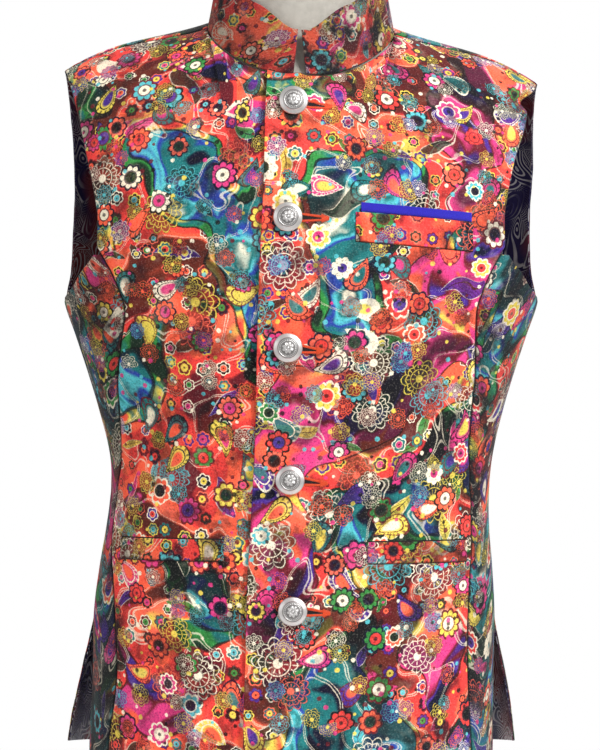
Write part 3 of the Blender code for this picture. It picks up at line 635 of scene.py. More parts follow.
def front_layout(side, inner_edge, pitch, overlap):
    """Angle and climb of each point of one front; overlap adds the strip that laps over."""
    shares = shares_from(inner_edge, pitch)
    first_top = angle_at(inner_edge, CHEST_HALF)
    tip = angle_at(SHOULDER_HALF, CHEST_HALF)
    lower = []
    for height in np.append(np.arange(FRONT_HEM[0], CHEST - 2.0, pitch), CHEST):
        half = curve(SECTIONS, "half_front", height)
        first = angle_at(side * inner_edge, half)
        last = side * curve(FRONT_SEAM, "left" if side > 0 else "right", height)
        angles = first + (last - first) * shares
        if overlap:
            edge = curve(FRONT_EDGE, "across", height) - curve(SECTIONS, "sway", height)
            angles = np.append(angle_at(np.linspace(edge, inner_edge, 16)[:-1], half), angles)
        lower.append((angles, row_climb(height, front_hem(angles))))
    upper = []
    for part in np.linspace(0.0, 1.0, int(190.0 / pitch))[1:]:
        tip_climb = row_of_climb("front", part, panel_top("front", SHOULDER_HALF)) - CHEST
        out = angle_at(curve(ARMHOLE, "front", np.sin(np.radians(tip_climb))), CHEST_HALF)
        top_turn = np.radians(first_top + (tip - first_top) * shares)
        top_across = CHEST_HALF * np.sin(top_turn) ** (2.0 / ROUNDNESS)
        angles = side * (first_top + (out - first_top) * shares)
        climbs = row_of_climb("front", part, panel_top("front", top_across))
        if overlap:
            edge = curve(FRONT_EDGE, "across", CHEST + part * 150.0)
            places = np.linspace(edge, inner_edge, 16)[:-1]
            angles = np.append(angle_at(places, CHEST_HALF), angles)
            climbs = np.append(row_of_climb("front", part, panel_top("front", places)), climbs)
        upper.append((angles, climbs))
    rows = lower + upper
    return np.array([row[0] for row in rows]), np.array([row[1] for row in rows])


def side_layout(side, pitch):
    rows = []
    for height in np.arange(FRONT_HEM[0], 506.0, pitch):
        first = curve(FRONT_SEAM, "left" if side > 0 else "right", height)
        last = SIDE_SEAM_ANGLE
        if height > ARMHOLE_FOOT:
            last = curve(ARMHOLE_EDGE, "side", height)
        angles = side * (first + (last - first) * np.linspace(0.0, 1.0, int(60.0 / pitch)))
        rows.append((angles, row_climb(height, front_hem(angles))))
    return np.array([row[0] for row in rows]), np.array([row[1] for row in rows])


def back_layout(pitch):
    """The back runs from one side seam to the other, and over both shoulders."""
    shares = shares_from(0.0, pitch)
    shares = np.concatenate((-shares[:0:-1], shares))
    tip = angle_at(SHOULDER_HALF, CHEST_HALF)
    rows = []
    for height in np.append(np.arange(FRONT_HEM[0], CHEST - 2.0, pitch), CHEST):
        last = 180.0 - SIDE_SEAM_ANGLE
        if height > ARMHOLE_FOOT:
            last = curve(ARMHOLE_EDGE, "back", height)
        angles = last * shares
        hem = BACK_HEM[0] + (BACK_HEM[1] - BACK_HEM[0]) * (np.abs(angles) / SIDE_SEAM_ANGLE) ** 2
        rows.append((angles, row_climb(height, hem)))
    for part in np.linspace(0.0, 1.0, int(215.0 / pitch))[1:]:
        tip_climb = row_of_climb("back", part, panel_top("back", SHOULDER_HALF)) - CHEST
        rise = np.sin(np.radians(np.minimum(90.0, tip_climb)))
        out = angle_at(curve(ARMHOLE, "back", rise), CHEST_HALF)
        top_across = CHEST_HALF * np.abs(np.sin(np.radians(tip * shares))) ** (2.0 / ROUNDNESS)
        rows.append((out * shares, row_of_climb("back", part, panel_top("back", top_across))))
    return np.array([row[0] for row in rows]), np.array([row[1] for row in rows])


CREASE_DEPTH = 1.35
# Large folds: face, across, height, half width, half length, slant, push outwards
FOLDS = (
    ("front", -130.0, 375.0, 20.0, 85.0, 0.05, -3.0),
    ("front", -85.0, 395.0, 24.0, 90.0, 0.12, 2.2),
    ("front", 112.0, 370.0, 20.0, 70.0, -0.25, -3.5),
    ("front", 80.0, 345.0, 24.0, 80.0, -0.2, 2.6),
    ("front", 128.0, 455.0, 20.0, 60.0, -0.5, -2.5),
    ("front", -125.0, 470.0, 20.0, 60.0, 0.55, -2.5),
    ("front", -100.0, 130.0, 26.0, 90.0, 0.0, 3.0),
    ("front", 95.0, 120.0, 26.0, 90.0, 0.0, 3.0),
    ("back", -70.0, 300.0, 26.0, 110.0, 0.0, -3.5),
    ("back", 70.0, 300.0, 26.0, 110.0, 0.0, -3.5),
    ("back", 0.0, 330.0, 30.0, 80.0, 0.0, 2.5),
    ("back", -60.0, 120.0, 30.0, 90.0, 0.05, 4.0),
    ("back", 85.0, 115.0, 30.0, 90.0, -0.05, 4.0),
)
# Small creases: face, from (across, height), to (across, height), half width, push outwards
CREASES = (
    ("front", (-168, 300), (-100, 318), 5.0, -1.0),
    ("front", (-160, 322), (-92, 352), 6.0, -0.9),
    ("front", (160, 296), (104, 322), 5.0, -1.1),
    ("front", (156, 330), (98, 372), 7.0, -1.0),
    ("front", (-150, 470), (-104, 452), 6.0, -0.9),
    ("front", (152, 468), (108, 446), 6.0, -0.9),
    ("front", (-60, 600), (-120, 640), 9.0, 0.8),
    ("front", (70, 600), (130, 628), 9.0, 0.8),
    ("front", (-30, 300), (-60, 322), 6.0, -0.6),
    ("front", (10, 306), (44, 330), 6.0, -0.6),
    ("front", (-120, 70), (-112, 190), 10.0, -1.2),
    ("front", (60, 66), (66, 200), 11.0, -1.1),
    ("front", (132, 76), (124, 170), 9.0, -1.2),
    ("back", (-150, 300), (-80, 322), 6.0, -1.1),
    ("back", (150, 306), (84, 330), 6.0, -1.1),
    ("back", (-40, 316), (30, 310), 7.0, -0.8),
    ("back", (-120, 470), (-60, 440), 8.0, -0.9),
    ("back", (124, 466), (70, 432), 8.0, -0.9),
    ("back", (0, 90), (4, 240), 12.0, -1.4),
    ("back", (-118, 92), (-112, 210), 10.0, -1.3),
)


def crease_push(face, x, z):
    """How far the folds and creases move the cloth out, at these places seen from the front."""
    push = np.zeros_like(x)
    for side, across, height, half_width, half_length, slant, reach in FOLDS:
        if side == face:
            along = np.clip((z - height) / half_length, -1.0, 1.0)
            beside = (x - across - slant * (z - height)) / half_width
            push += reach * np.exp(-beside * beside) * np.cos(along * math.pi / 2.0) ** 2
    for side, start, end, half_width, reach in CREASES:
        if side == face:
            way = np.array(end, dtype=float) - np.array(start, dtype=float)
            long = np.linalg.norm(way)
            way /= long
            along = ((x - start[0]) * way[0] + (z - start[1]) * way[1]) / long
            bend = half_width * 0.5 * np.sin(along * 4.0)
            beside = (z - start[1]) * way[0] - (x - start[0]) * way[1] + bend
            uneven = 1.0 + 0.3 * np.sin(along * 9.0 + start[0])
            fade = np.sin(np.clip(along, 0.0, 1.0) * math.pi) * uneven
            push += reach * np.exp(-(beside / half_width) ** 2) * fade
    return push * CREASE_DEPTH


def stand(points):
    """Millimetres to metres, with the shoulders as they hang: one lower, both rounded down."""
    points = np.array(points, dtype=float)
    part = np.clip((points[:, 2] - 565.0) / 90.0, 0.0, 1.0)
    high = soft_step(part) * np.clip((800.0 - points[:, 2]) / 36.0, 0.0, 1.0)
    out = np.clip((np.abs(points[:, 0]) - 85.0) / 121.0, 0.0, 1.0)
    points[:, 2] += high * (-0.028 * points[:, 0] + 6.0 * np.sin(math.pi * out ** 1.6))
    x, y, z = points.T
    tip = soft_step(np.clip((x - 178.0) / 20.0, 0.0, 1.0))
    ahead = np.clip((-1.0 - y) / 10.0, 0.0, 1.0)
    behind = np.clip((y - 3.0) / 12.0, 0.0, 1.0)
    notch = -9.0 * np.exp(-((z - 637.5) / 6.5) ** 2) + 2.8 * np.exp(-((z - 606.0) / 18.0) ** 2)
    bulge = 4.5 * np.exp(-((z - 582.0) / 38.0) ** 2)
    points[:, 0] = x + tip * (ahead * notch + behind * bulge)
    return (points + (0.0, DEPTH_SHIFT, 0.0)) * 0.001


def with_rims(grid, gaps):
    """Add fine rows and columns just inside each edge, so that the edges can be rounded."""
    for axis in (0, 1):
        grid = np.swapaxes(grid, 0, axis)
        first = [grid[0] + (grid[1] - grid[0]) * part for part in gaps]
        last = [grid[-1] + (grid[-2] - grid[-1]) * part for part in reversed(gaps)]
        grid = np.concatenate((grid[:1], first, grid[1:-1], last, grid[-1:]))
        grid = np.swapaxes(grid, 0, axis)
    return grid


def edge_distances(points):
    """Distance of every point from the first row, last row, first column and last column."""
    down = np.linalg.norm(np.diff(points, axis=0), axis=-1)
    down = np.concatenate((np.zeros_like(down[:1]), np.cumsum(down, axis=0)))
    along = np.linalg.norm(np.diff(points, axis=1), axis=-1)
    along = np.concatenate((np.zeros_like(along[:, :1]), np.cumsum(along, axis=1)), axis=1)
    return {"first_row": down, "last_row": down[-1:] - down,
            "first_column": along, "last_column": along[:, -1:] - along}


def cloth_wall(name, points, normals, cut, thickness, edges, materials):
    """Closed wall of cloth with rounded edges.

    points are its outer face, cut its places on the flat cloth, and edges says of each side
    of the grid whether it is a "fold", rounded on both faces, or a "seam", rolled inwards.
    Seams also get a "seam" mark on their points, which the print turns into painted shade.
    """
    joined = np.concatenate((points, normals, cut), axis=-1)
    joined = with_rims(joined, (0.08, 0.18, 0.32, 0.55))
    points, normals, cut = joined[..., :3], joined[..., 3:6], joined[..., 6:]
    normals = normals / np.linalg.norm(normals, axis=-1, keepdims=True)
    sink = np.zeros(points.shape[:2])
    lift = np.zeros(points.shape[:2])
    seam_shade = np.zeros(points.shape[:2])
    ripple = np.sin(cut[..., 1] * 260.0 + cut[..., 0] * 310.0) + np.sin(cut[..., 1] * 141.0 + 2.0)
    for edge, far in edge_distances(points).items():
        if edges[edge] == "fold":
            radius = thickness * 0.48
            near = radius - np.minimum(far, radius)
            drop = radius - np.sqrt(np.maximum(radius * radius - near * near, 0.0))
            sink = np.maximum(sink, drop)
            lift = np.maximum(lift, drop)
        if edges[edge] == "seam":
            near = 1.0 - np.minimum(far, 2.2) / 2.2
            sink += 1.1 * near ** 2 + (0.12 * ripple + 0.3) * np.exp(-(far / 6.0) ** 2)
            # Painted shade: a mark that is 1 on the seam and fades out over 1.3 mm, for darkening
            # the colour there.
            seam_shade = np.maximum(seam_shade, np.clip(1.3 - far / 1.3, 0.0, 1.0))
    outer = points - normals * sink[..., None]
    inner = points - normals * (thickness - lift)[..., None]
    rows, columns = sink.shape
    seam_shade = seam_shade.reshape(-1)
    index = np.arange(rows * columns).reshape(rows, columns)
    quads = np.stack((index[:-1, :-1], index[:-1, 1:], index[1:, 1:], index[1:, :-1]), axis=-1)
    quads = quads.reshape(-1, 4)
    ring = np.concatenate((index[0, :-1], index[:-1, -1], index[-1, :0:-1], index[:0:-1, 0]))
    after = np.roll(ring, -1)
    count = rows * columns
    rim = np.stack((after, ring, ring + count, after + count), axis=-1)
    faces = np.concatenate((quads, quads[:, ::-1] + count, rim))
    places = np.concatenate((outer.reshape(-1, 3), inner.reshape(-1, 3)))
    middle = len(quads) // 2
    corner = places[quads[middle]]
    facing = np.cross(corner[1] - corner[0], corner[2] - corner[0])
    if np.dot(facing, normals.reshape(-1, 3)[quads[middle][0]]) < 0.0:
        faces = faces[:, ::-1]
    thing = add_mesh(name, stand(places), faces.tolist())
    mesh = thing.data
    # The painted seam shade is stored as the point attribute "seam".
    seam_shade_layer = mesh.attributes.new("seam", "FLOAT", "POINT")
    seam_shade_layer.data.foreach_set("value", np.concatenate((seam_shade, seam_shade)))
    flat = np.concatenate((cut.reshape(-1, 2), cut.reshape(-1, 2)))
    layer = mesh.uv_layers.new(name="cut")
    layer.data.foreach_set("uv", flat[faces.reshape(-1)].reshape(-1))
    for material in materials:
        mesh.materials.append(material)
    if len(materials) > 1:
        slots = np.zeros(len(faces), dtype=np.int32)
        slots[len(quads):2 * len(quads)] = 1
        mesh.polygons.foreach_set("material_index", slots)
    mesh.shade_smooth()
    mesh.update()
    return thing


def cut_places(points, chest_row, start):
    """Places on the flat cloth, in metres: along each row, and up each column."""
    far = edge_distances(points)
    along = far["first_column"] + start
    up = far["first_row"] - far["first_row"][chest_row] + CHEST
    return np.stack((along, up), axis=-1) * 0.001


OVERLAP_RAISE = 2.7
EDGE_ROLL = 3.2


def panel(name, face, layout, thickness, edges, materials, shift, lap=False):
    """One panel of the body; lap raises the strip that lies over the other front and rolls it."""
    angle, climb = layout
    points, normals = skin(face, angle, climb)
    points = points + normals * crease_push(face, points[..., 0], points[..., 2])[..., None]
    if lap:
        reach = 4.2 + 9.0 * np.clip((650.0 - points[..., 2]) / 60.0, 0.0, 1.0)
        part = np.clip((reach - points[..., 0]) / (reach + 3.0), 0.0, 1.0)
        points = points + normals * (OVERLAP_RAISE * part * part * (3.0 - 2.0 * part))[..., None]
        far = points[..., 0] - points[:, :1, 0]
        uneven = 0.7 + 0.3 * np.sin(points[..., 2] * 0.062 + 1.0)
        roll = EDGE_ROLL * np.exp(-((far / 9.0) ** 2)) * uneven
        points = points + normals * roll[..., None]
    chest_row = int(np.argmin(np.abs(climb[:, 0] - CHEST)))
    cut = cut_places(points, chest_row, 0.0) + shift
    thing = cloth_wall(name, points, normals, cut, thickness, edges, materials)
    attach(thing, "root")
    return thing, {"points": points, "normals": normals}


# Lining cloth: a glossy dark jacquard satin with woven swirls, which faces every panel's
# inner side and shows in the armholes and the vents.
lining_material, lining_uv, lining_shader = new_material("lining")
lining_shader.inputs["Coat Weight"].default_value = 0.15
lining_bent = shaken(lining_uv, 16.0, 0.05, 1.0)
lining_x, lining_y = local_frame(lining_bent, 34.0)[:2]
lining_long = lining_y / 0.017
lining_wide = (lining_x / 0.017 - lining_long * lining_long * 0.35) / (0.55 - lining_long * 0.3)
lining_drop = (lining_wide * lining_wide + lining_long * lining_long).math("SQRT")
lining_lines = (lining_drop * 17.0).math("SINE").rise(0.3, 0.8) * lining_drop.fall(1.3, 1.5)
lining_curl = (lining_bent.cells(60.0, "DISTANCE_TO_EDGE") * 60.0).math("SINE").rise(0.5, 0.9)
lining_lines = lining_lines.math("MAXIMUM", lining_curl * lining_drop.rise(1.3, 1.45))
lining_thread = (lining_uv.node("SeparateXYZ", {}, {0: lining_uv}).other("Y") * 9000.0).math("SINE")
lining_ground = lining_bent.noise(13.0).ramp([(0.47, tint(44, 40, 82)), (0.6, tint(122, 54, 60))])
lining_worn = lining_uv.noise(30.0).rise(0.33, 0.55)
lining_colour = lining_ground.mix((*tint(196, 192, 200), 1.0), lining_lines * lining_worn * 0.9)
finish_material(lining_uv, lining_shader, lining_colour, lining_lines * 0.14 + 0.22,
                lining_thread * 0.3 + lining_lines + lining_uv.noise(55.0) * 3.0, 0.0004, 0.6)

# Panels: two fronts, two narrow sides and a back of printed velvet, cut with a few
# millimetres' ease and hung from the shoulders, with a seam or a folded edge all round.
EDGES = ("first_row", "last_row", "first_column", "last_column")
ALL_FOLDED = dict.fromkeys(EDGES, "fold")
PITCH = 3.5
body_print = print_material("print_body")
# The sides' print has a cooler, blacker ground of its own; dark=0.3 also darkens it all over, a
# painted shade for the sides.
shaded_side_print = print_material("print_sides", warm_from=0.53, warm_to=0.66, coal_from=0.46, dark=0.3)
pieces = {}
grids = {}
for name, face, layout, thickness, kinds, shift, lap in (
        ("left_front", "front", front_layout(1.0, 4.2, PITCH, True), 2.0,
         ("fold", "seam", "fold", "seam"), (3.11, 1.37), True),
        ("right_front", "front", front_layout(-1.0, 6.4, PITCH, False), 2.0,
         ("fold", "seam", "fold", "seam"), (7.43, 5.21), False),
        ("left_side", "front", side_layout(1.0, PITCH), 2.0,
         ("fold", "fold", "seam", "seam"), (1.77, 8.05), False),
        ("right_side", "front", side_layout(-1.0, PITCH), 2.0,
         ("fold", "fold", "seam", "seam"), (9.31, 2.6), False),
        ("back_panel", "back", back_layout(PITCH), 1.4,
         ("fold", "seam", "seam", "seam"), (4.9, 6.7), False),
):
    printed = shaded_side_print if "side" in name else body_print
    pieces[name], grids[name] = panel(name, face, layout, thickness, dict(zip(EDGES, kinds)),
                                      (printed, lining_material), shift, lap)

for name, node in (("left_front", "front_left"), ("right_front", "front_right"),
                   ("left_side", "side_left"), ("right_side", "side_right"),
                   ("back_panel", "back")):
    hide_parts(node)

# Back lining: one piece of the dark satin, cut like the back and sewn in just behind it.
back_points = grids["back_panel"]["points"] - grids["back_panel"]["normals"] * 1.85
lining = cloth_wall("satin_lining", back_points, grids["back_panel"]["normals"],
                    cut_places(back_points, 131, 0.0), 0.8, ALL_FOLDED, (lining_material,))
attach(lining, "root")
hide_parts("back_lining")


# Stand collar: one stiff interlined band of the same print, folded over its top edge, with
# its lower edge sewn into the neck seam and its two ends left open at the throat.
def neck_line(side, start):
    """The neck seam on one side, from its front end round to the middle of the back."""
    front = NECK_HALF * np.sin(np.linspace(math.asin(start / NECK_HALF), math.pi / 2.0, 44))
    rear = NECK_HALF * np.sin(np.linspace(math.pi / 2.0, 0.0, 44))[1:]
    return np.concatenate([
        bare_skin(face, side * angle_at(across, CHEST_HALF), CHEST + panel_top(face, across))
        for face, across in (("front", front), ("back", rear))])


neck_left = neck_line(1.0, 4.2)
neck_right = neck_line(-1.0, 6.4)
collar_base = np.concatenate((neck_left, neck_right[-2::-1]))
collar_rows = []
for part in np.linspace(0.0, 1.0, 22):
    sideways = np.abs(collar_base[:, 0]) / NECK_HALF
    ease = np.clip(sideways * 1.9, 0.0, 1.0)
    tall = np.where(collar_base[:, 1] > NECK_CENTRE,
                    53.0 - 4.0 * (1.0 - sideways) - 3.6 * np.exp(-(collar_base[:, 0] / 20.0) ** 2),
                    37.0 + 16.0 * ease * ease * (3.0 - 2.0 * ease))
    row = np.stack((collar_base[:, 0] * (1.0 - 0.125 * part),
                    NECK_CENTRE + (collar_base[:, 1] - NECK_CENTRE) * (1.0 - 0.075 * part),
                    collar_base[:, 2] + 0.4 + tall * part), axis=-1)
    for end in (0, -1):
        row[end, 0] = collar_base[end, 0] + (-1.2 - collar_base[end, 0]) * 0.72 * part
    collar_rows.append(row)
collar_points = np.array(collar_rows)
collar_print = print_material("print_collar", warm_from=0.2, warm_to=0.8, coal_from=0.55, dark=0.5)
collar_ways = collar_points - (0.0, NECK_CENTRE, 0.0)
collar_ways[..., 2] = 0.0
collar_ways /= np.linalg.norm(collar_ways, axis=-1, keepdims=True)
collar_cut = cut_places(collar_points, 0, 0.0)
collar_wave = np.sin(collar_cut[..., 0] * 90.0) * np.sin(collar_cut[..., 1] * 60.0)
collar_points = collar_points - collar_ways * (0.25 + 0.2 * collar_wave)[..., None]
collar = cloth_wall("stand_collar", collar_points, collar_ways, collar_cut + (2.23, 3.61), 2.3,
                    ALL_FOLDED, (collar_print,))
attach(collar, "root")
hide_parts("collar")


# Welt pockets: a folded strip of the print over each slit, sewn down at its foot and ends.
# The breast pocket has a strip of cobalt felt showing above its welt.
def on_panel(grid, x, z):
    """Point and direction of a panel's outer face, found by its place seen from the front."""
    points = grid["points"]
    apart = (points[..., 0] - x) ** 2 + (points[..., 2] - z) ** 2
    i, j = np.unravel_index(int(np.argmin(apart)), apart.shape)
    place = np.array((float(i), float(j)))
    for _ in range(12):
        low = np.clip(np.floor(place), 0, (points.shape[0] - 2, points.shape[1] - 2)).astype(int)
        part = place - low
        corners = points[low[0]:low[0] + 2, low[1]:low[1] + 2]
        weights = np.outer((1.0 - part[0], part[0]), (1.0 - part[1], part[1]))
        spot = np.tensordot(weights, corners, 2)
        up = (1.0 - part[1]) * (corners[1, 0] - corners[0, 0])
        up = up + part[1] * (corners[1, 1] - corners[0, 1])
        aside = (1.0 - part[0]) * (corners[0, 1] - corners[0, 0])
        aside = aside + part[0] * (corners[1, 1] - corners[1, 0])
        slope = np.array(((up[0], aside[0]), (up[2], aside[2])))
        place += np.linalg.solve(slope, (x - spot[0], z - spot[2])) * 0.9
    way = np.tensordot(weights, grid["normals"][low[0]:low[0] + 2, low[1]:low[1] + 2], 2)
    return spot, way / np.linalg.norm(way)


felt_material, felt_uv, felt_shader = new_material("cobalt_felt", sheen=0.4)
felt_fuzz = felt_uv.noise(1800.0, 4.0, rough=0.7)
felt_colour = felt_fuzz.ramp([(0.3, tint(24, 16, 140)), (0.7, tint(46, 34, 206))])
finish_material(felt_uv, felt_shader, felt_colour, felt_fuzz * 0.2 + 0.75, felt_fuzz, 0.0006, 0.7)
# Piece, node, panel under it, near and far upper corner, depth, place on the print, flat size
WELTS = (
    ("breast_welt", "chest_welt", "left_front",
     (45.5, 537.5), (144.0, 530.0), 25.0, (5.55, 0.42), (0.1035, 0.0253)),
    ("left_hip_welt", "hip_welt_left", "left_front",
     (55.5, 261.5), (140.0, 261.5), 18.5, (6.13, 4.41), (0.097, 0.0187)),
    ("right_hip_welt", "hip_welt_right", "right_front",
     (-64.5, 263.5), (-153.0, 263.5), 18.5, (8.21, 3.3), (0.1045, 0.019)),
    ("breast_insert", "chest_insert", "left_front",
     (50.0, 545.6), (143.0, 538.0), 7.6, None, (0.098, 0.0102)),
)
hip_print = print_material("print_hip_welts", warm_from=0.2, warm_to=0.8, coal_from=0.55, dark=0.15)
for name, node, carrier, near, far, deep, shift, flat in WELTS:
    columns = 40
    rows = 9
    points = np.zeros((rows, columns, 3))
    ways = np.zeros((rows, columns, 3))
    for i in range(rows):
        for j in range(columns):
            part = j / (columns - 1)
            x = near[0] + (far[0] - near[0]) * part
            z = near[1] + (far[1] - near[1]) * part - deep * (1.0 - i / (rows - 1))
            points[i, j], ways[i, j] = on_panel(grids[carrier], x, z)
    belly = np.sin(np.linspace(0.0, math.pi, columns)) * np.linspace(0.0, 1.0, rows)[:, None] ** 3
    lift = 0.35 + 1.4 + 0.5 * belly
    points = points + ways * lift[..., None]
    look = felt_material if shift is None else hip_print if "hip" in name else body_print
    welt = cloth_wall(name, points, ways, cut_places(points, 0, 0.0) + (shift or (0.0, 0.0)), 1.4,
                      dict(zip(EDGES, ("seam", "fold", "fold", "fold"))), (look,))
    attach(welt, "root")
    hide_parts(node)
    pieces[name] = welt

# Near-black material for the strips that paint the shadow inside slits.
slit_material, slit_uv, slit_shader = new_material("slit_shadow")
slit_weave = slit_uv.noise(1500.0)
slit_colour = slit_weave.ramp([(0.3, (0.004, 0.003, 0.004)), (0.7, (0.02, 0.012, 0.012))])
finish_material(slit_uv, slit_shader, slit_colour, 0.9)


def painted_slit_shadow(name, grid, foot, top):
    """Painted shadow in the mouth of a slit: a thin near-black strip between two lines seen from
    the front.
    """
    between = [((x + u) / 2.0, (z + v) / 2.0) for (x, z), (u, v) in zip(foot, top)]
    lines = [[on_panel(grid, x, z) for x, z in line] for line in (foot, between, top)]
    spots = np.array([[spot + way * 0.2 for spot, way in line] for line in lines])
    ways = np.array([[way for spot, way in line] for line in lines])
    made = cloth_wall(name, spots, ways, cut_places(spots, 0, 0.0), 0.25,
                      ALL_FOLDED, (slit_material,))
    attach(made, "root")
    return made


# Each hip pocket gets a painted shadow strip along its mouth, just above the welt.
for name, _, carrier, near, far, *_ in WELTS:
    if "hip" in name:
        level = [(near[0] + (far[0] - near[0]) * part, near[1] + (far[1] - near[1]) * part)
                 for part in np.linspace(0.0, 1.0, 30)]
        mouth = name + "_mouth"
        pieces[mouth] = painted_slit_shadow(mouth, grids[carrier], [(x, z - 1.0) for x, z in level],
                             [(x, z + 1.1) for x, z in level])

# Buttons: five stamped domes of white metal, each with a sloped rim and a raised middle that
# carries a rosette and beads, held on the right front by a shank through the buttonhole.
metal_material, metal_uv, metal_shader = new_material("white_metal", metallic=1.0)
metal_place = metal_uv.other("Object")
metal_cloud = metal_place.solid_noise(260.0, 3.0)
metal_low = metal_uv.node("Attribute", {"attribute_name": "relief"}, {}, "Fac")
metal_colour = metal_low.ramp([(0.0, tint(142, 139, 138)), (0.6, tint(196, 193, 191)),
                               (1.0, tint(230, 227, 225))])
finish_material(metal_uv, metal_shader, metal_colour, metal_cloud * 0.2 + 0.36 - metal_low * 0.04,
                metal_cloud, 0.0001, 0.4)
BUTTONS = ((-6.0, 631.0), (-10.9, 533.0), (-10.9, 424.5), (-9.2, 314.0), (-7.0, 204.5))
BUTTON_RADIUS = 12.2
STAMPED = 8.6
button_profile = {
    "far": (0.0, 2.0, 4.0, 6.0, 8.0, 8.7, 9.1, 9.6, 10.8, 11.8, BUTTON_RADIUS),
    "high": (8.2, 8.1, 7.85, 7.4, 6.9, 6.6, 6.0, 5.7, 4.9, 4.2, 3.6),
}
button_far = np.concatenate((np.linspace(0.05, 9.2, 40), np.linspace(9.4, BUTTON_RADIUS, 16)))
button_turn = np.linspace(0.0, math.tau, 120, endpoint=False)


def button_relief(far, turn):
    """Height of the stamped rosette and beads, from 0 in the ground to 1 on the relief."""
    petal = 3.2 + 1.9 * np.abs(np.cos(turn * 4.0))
    flower = np.clip((petal - far) / 0.5, 0.0, 1.0) * np.clip((far - 1.5) / 0.4, 0.0, 1.0)
    vein = 1.0 - 0.7 * np.exp(-((np.abs(np.sin(turn * 4.0)) * far / 0.35) ** 2))
    heart = np.clip((1.25 - far) / 0.3, 0.0, 1.0)
    beads = np.clip((np.cos(turn * 28.0) + 0.6) * 1.2, 0.0, 1.0)
    beads = beads * np.exp(-((far - 6.4) / 0.42) ** 2)
    ring = np.exp(-((far - 7.6) / 0.25) ** 2)
    return np.clip(flower * vein + heart + beads + ring, 0.0, 1.0)


for number, (x, z) in enumerate(BUTTONS, start=1):
    spot, way = on_panel(grids["left_front"], x, z)
    spot = spot + way * 1.1
    way = way * 0.35 + np.array((0.0, -0.65, 0.0))
    way /= np.linalg.norm(way)
    aside = np.cross((0.0, 0.0, 1.0), way)
    aside /= np.linalg.norm(aside)
    up = np.cross(way, aside)
    spin = 0.12 * number
    far, turn = np.meshgrid(button_far, button_turn, indexing="ij")
    relief = button_relief(far, turn + spin) * np.clip((9.0 - far) / 0.6, 0.0, 1.0)
    sunk = 0.28 * (1.0 - relief) * np.clip((STAMPED - far) / 0.5, 0.0, 1.0)
    high = curve(button_profile, "high", far) - sunk
    rings = [(far[k], high[k], relief[k] if far[k, 0] < STAMPED else 1.0 + 0.0 * relief[k])
             for k in range(len(far))]
    level = 0.0 * button_turn
    for radius, height in ((BUTTON_RADIUS, 3.1), (11.6, 2.7), (7.0, 2.6), (2.3, 2.6),
                           (2.1, 1.4), (2.1, 0.0)):
        rings.append((radius + level, height + level, 0.4 + level))
    places = []
    worth = []
    for radius, height, shade in rings:
        ring = spot + (np.cos(button_turn) * radius)[:, None] * aside
        ring = ring + (np.sin(button_turn) * radius)[:, None] * up
        places.append(ring + height[:, None] * way)
        worth.append(shade)
    places = np.concatenate(places)
    count = len(button_turn)
    faces = []
    for k in range(len(rings) - 1):
        for j in range(count):
            n = (j + 1) % count
            faces.append((k * count + j, (k + 1) * count + j, (k + 1) * count + n, k * count + n))
    faces.append(tuple(range(count)))
    faces.append(tuple(range(len(rings) * count - 1, (len(rings) - 1) * count - 1, -1)))
    button = add_mesh("button_cap_%d" % number, stand(places), faces)
    shades = button.data.attributes.new("relief", "FLOAT", "POINT")
    shades.data.foreach_set("value", np.concatenate(worth))
    button.data.shade_smooth()
    button.data.set_sharp_from_angle(angle=math.radians(50.0))
    button.data.materials.append(metal_material)
    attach(button, "root")
    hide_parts("button_%d" % number)
    pieces[button.name] = button

# Buttonholes: a slit in the left front behind each button, drawn as a painted shadow strip and
# bound all round in thick orange thread, a close row of crosswise stitches that ends in a bar of
# longer ones.
thread_material, thread_uv, thread_shader = new_material("orange_thread", sheen=0.3)
thread_place = thread_uv.other("Object")
thread_strand = thread_place.solid_noise(2600.0, 2.0)
thread_colour = thread_strand.ramp([(0.3, tint(190, 44, 12)), (0.7, tint(248, 92, 34))])
finish_material(thread_uv, thread_shader, thread_colour, thread_strand * 0.2 + 0.5,
                thread_strand, 0.0002, 0.6)


stitch_tree = bpy.data.node_groups.new("thread_stitches", "GeometryNodeTree")


def stitch_socket(label, kind, in_out="INPUT"):
    return stitch_tree.interface.new_socket(label, in_out=in_out, socket_type="NodeSocket" + kind)


def stitch_node(kind, settings, values):
    """Add a node to the stitches' tree, set it, and fill or link its inputs."""
    made = stitch_tree.nodes.new(kind)
    for name, value in settings.items():
        setattr(made, name, value)
    for place, value in values.items():
        if isinstance(value, bpy.types.NodeSocket):
            stitch_tree.links.new(value, made.inputs[place])
        else:
            made.inputs[place].default_value = value
    return made


stitch_socket("Geometry", "Geometry")
thread_socket = stitch_socket("Thread radius", "Float")
uneven_socket = stitch_socket("Unevenness", "Float")
colour_socket = stitch_socket("Thread", "Material")
stitch_socket("Geometry", "Geometry", "OUTPUT")
stitch_in = stitch_tree.nodes.new("NodeGroupInput")
stitch_out = stitch_tree.nodes.new("NodeGroupOutput")
stitch_points = stitch_node("GeometryNodeMeshToPoints", {}, {"Mesh": stitch_in.outputs["Geometry"]})
stitch_ball = stitch_node("GeometryNodeMeshUVSphere", {},
                          {"Segments": 8, "Rings": 6, "Radius": 1.0})
stitch_way, stitch_up, stitch_long = [
    stitch_node("GeometryNodeInputNamedAttribute", {"data_type": kind}, {"Name": label})
    for label, kind in (("way", "FLOAT_VECTOR"), ("out", "FLOAT_VECTOR"), ("long", "FLOAT"))]
stitch_turn = stitch_node("FunctionNodeAlignRotationToVector", {"axis": "X"},
                       {"Vector": stitch_way.outputs[0]})
stitch_turned = stitch_node("FunctionNodeAlignRotationToVector", {"axis": "Z", "pivot_axis": "X"},
                         {"Rotation": stitch_turn.outputs[0], "Vector": stitch_up.outputs[0]})
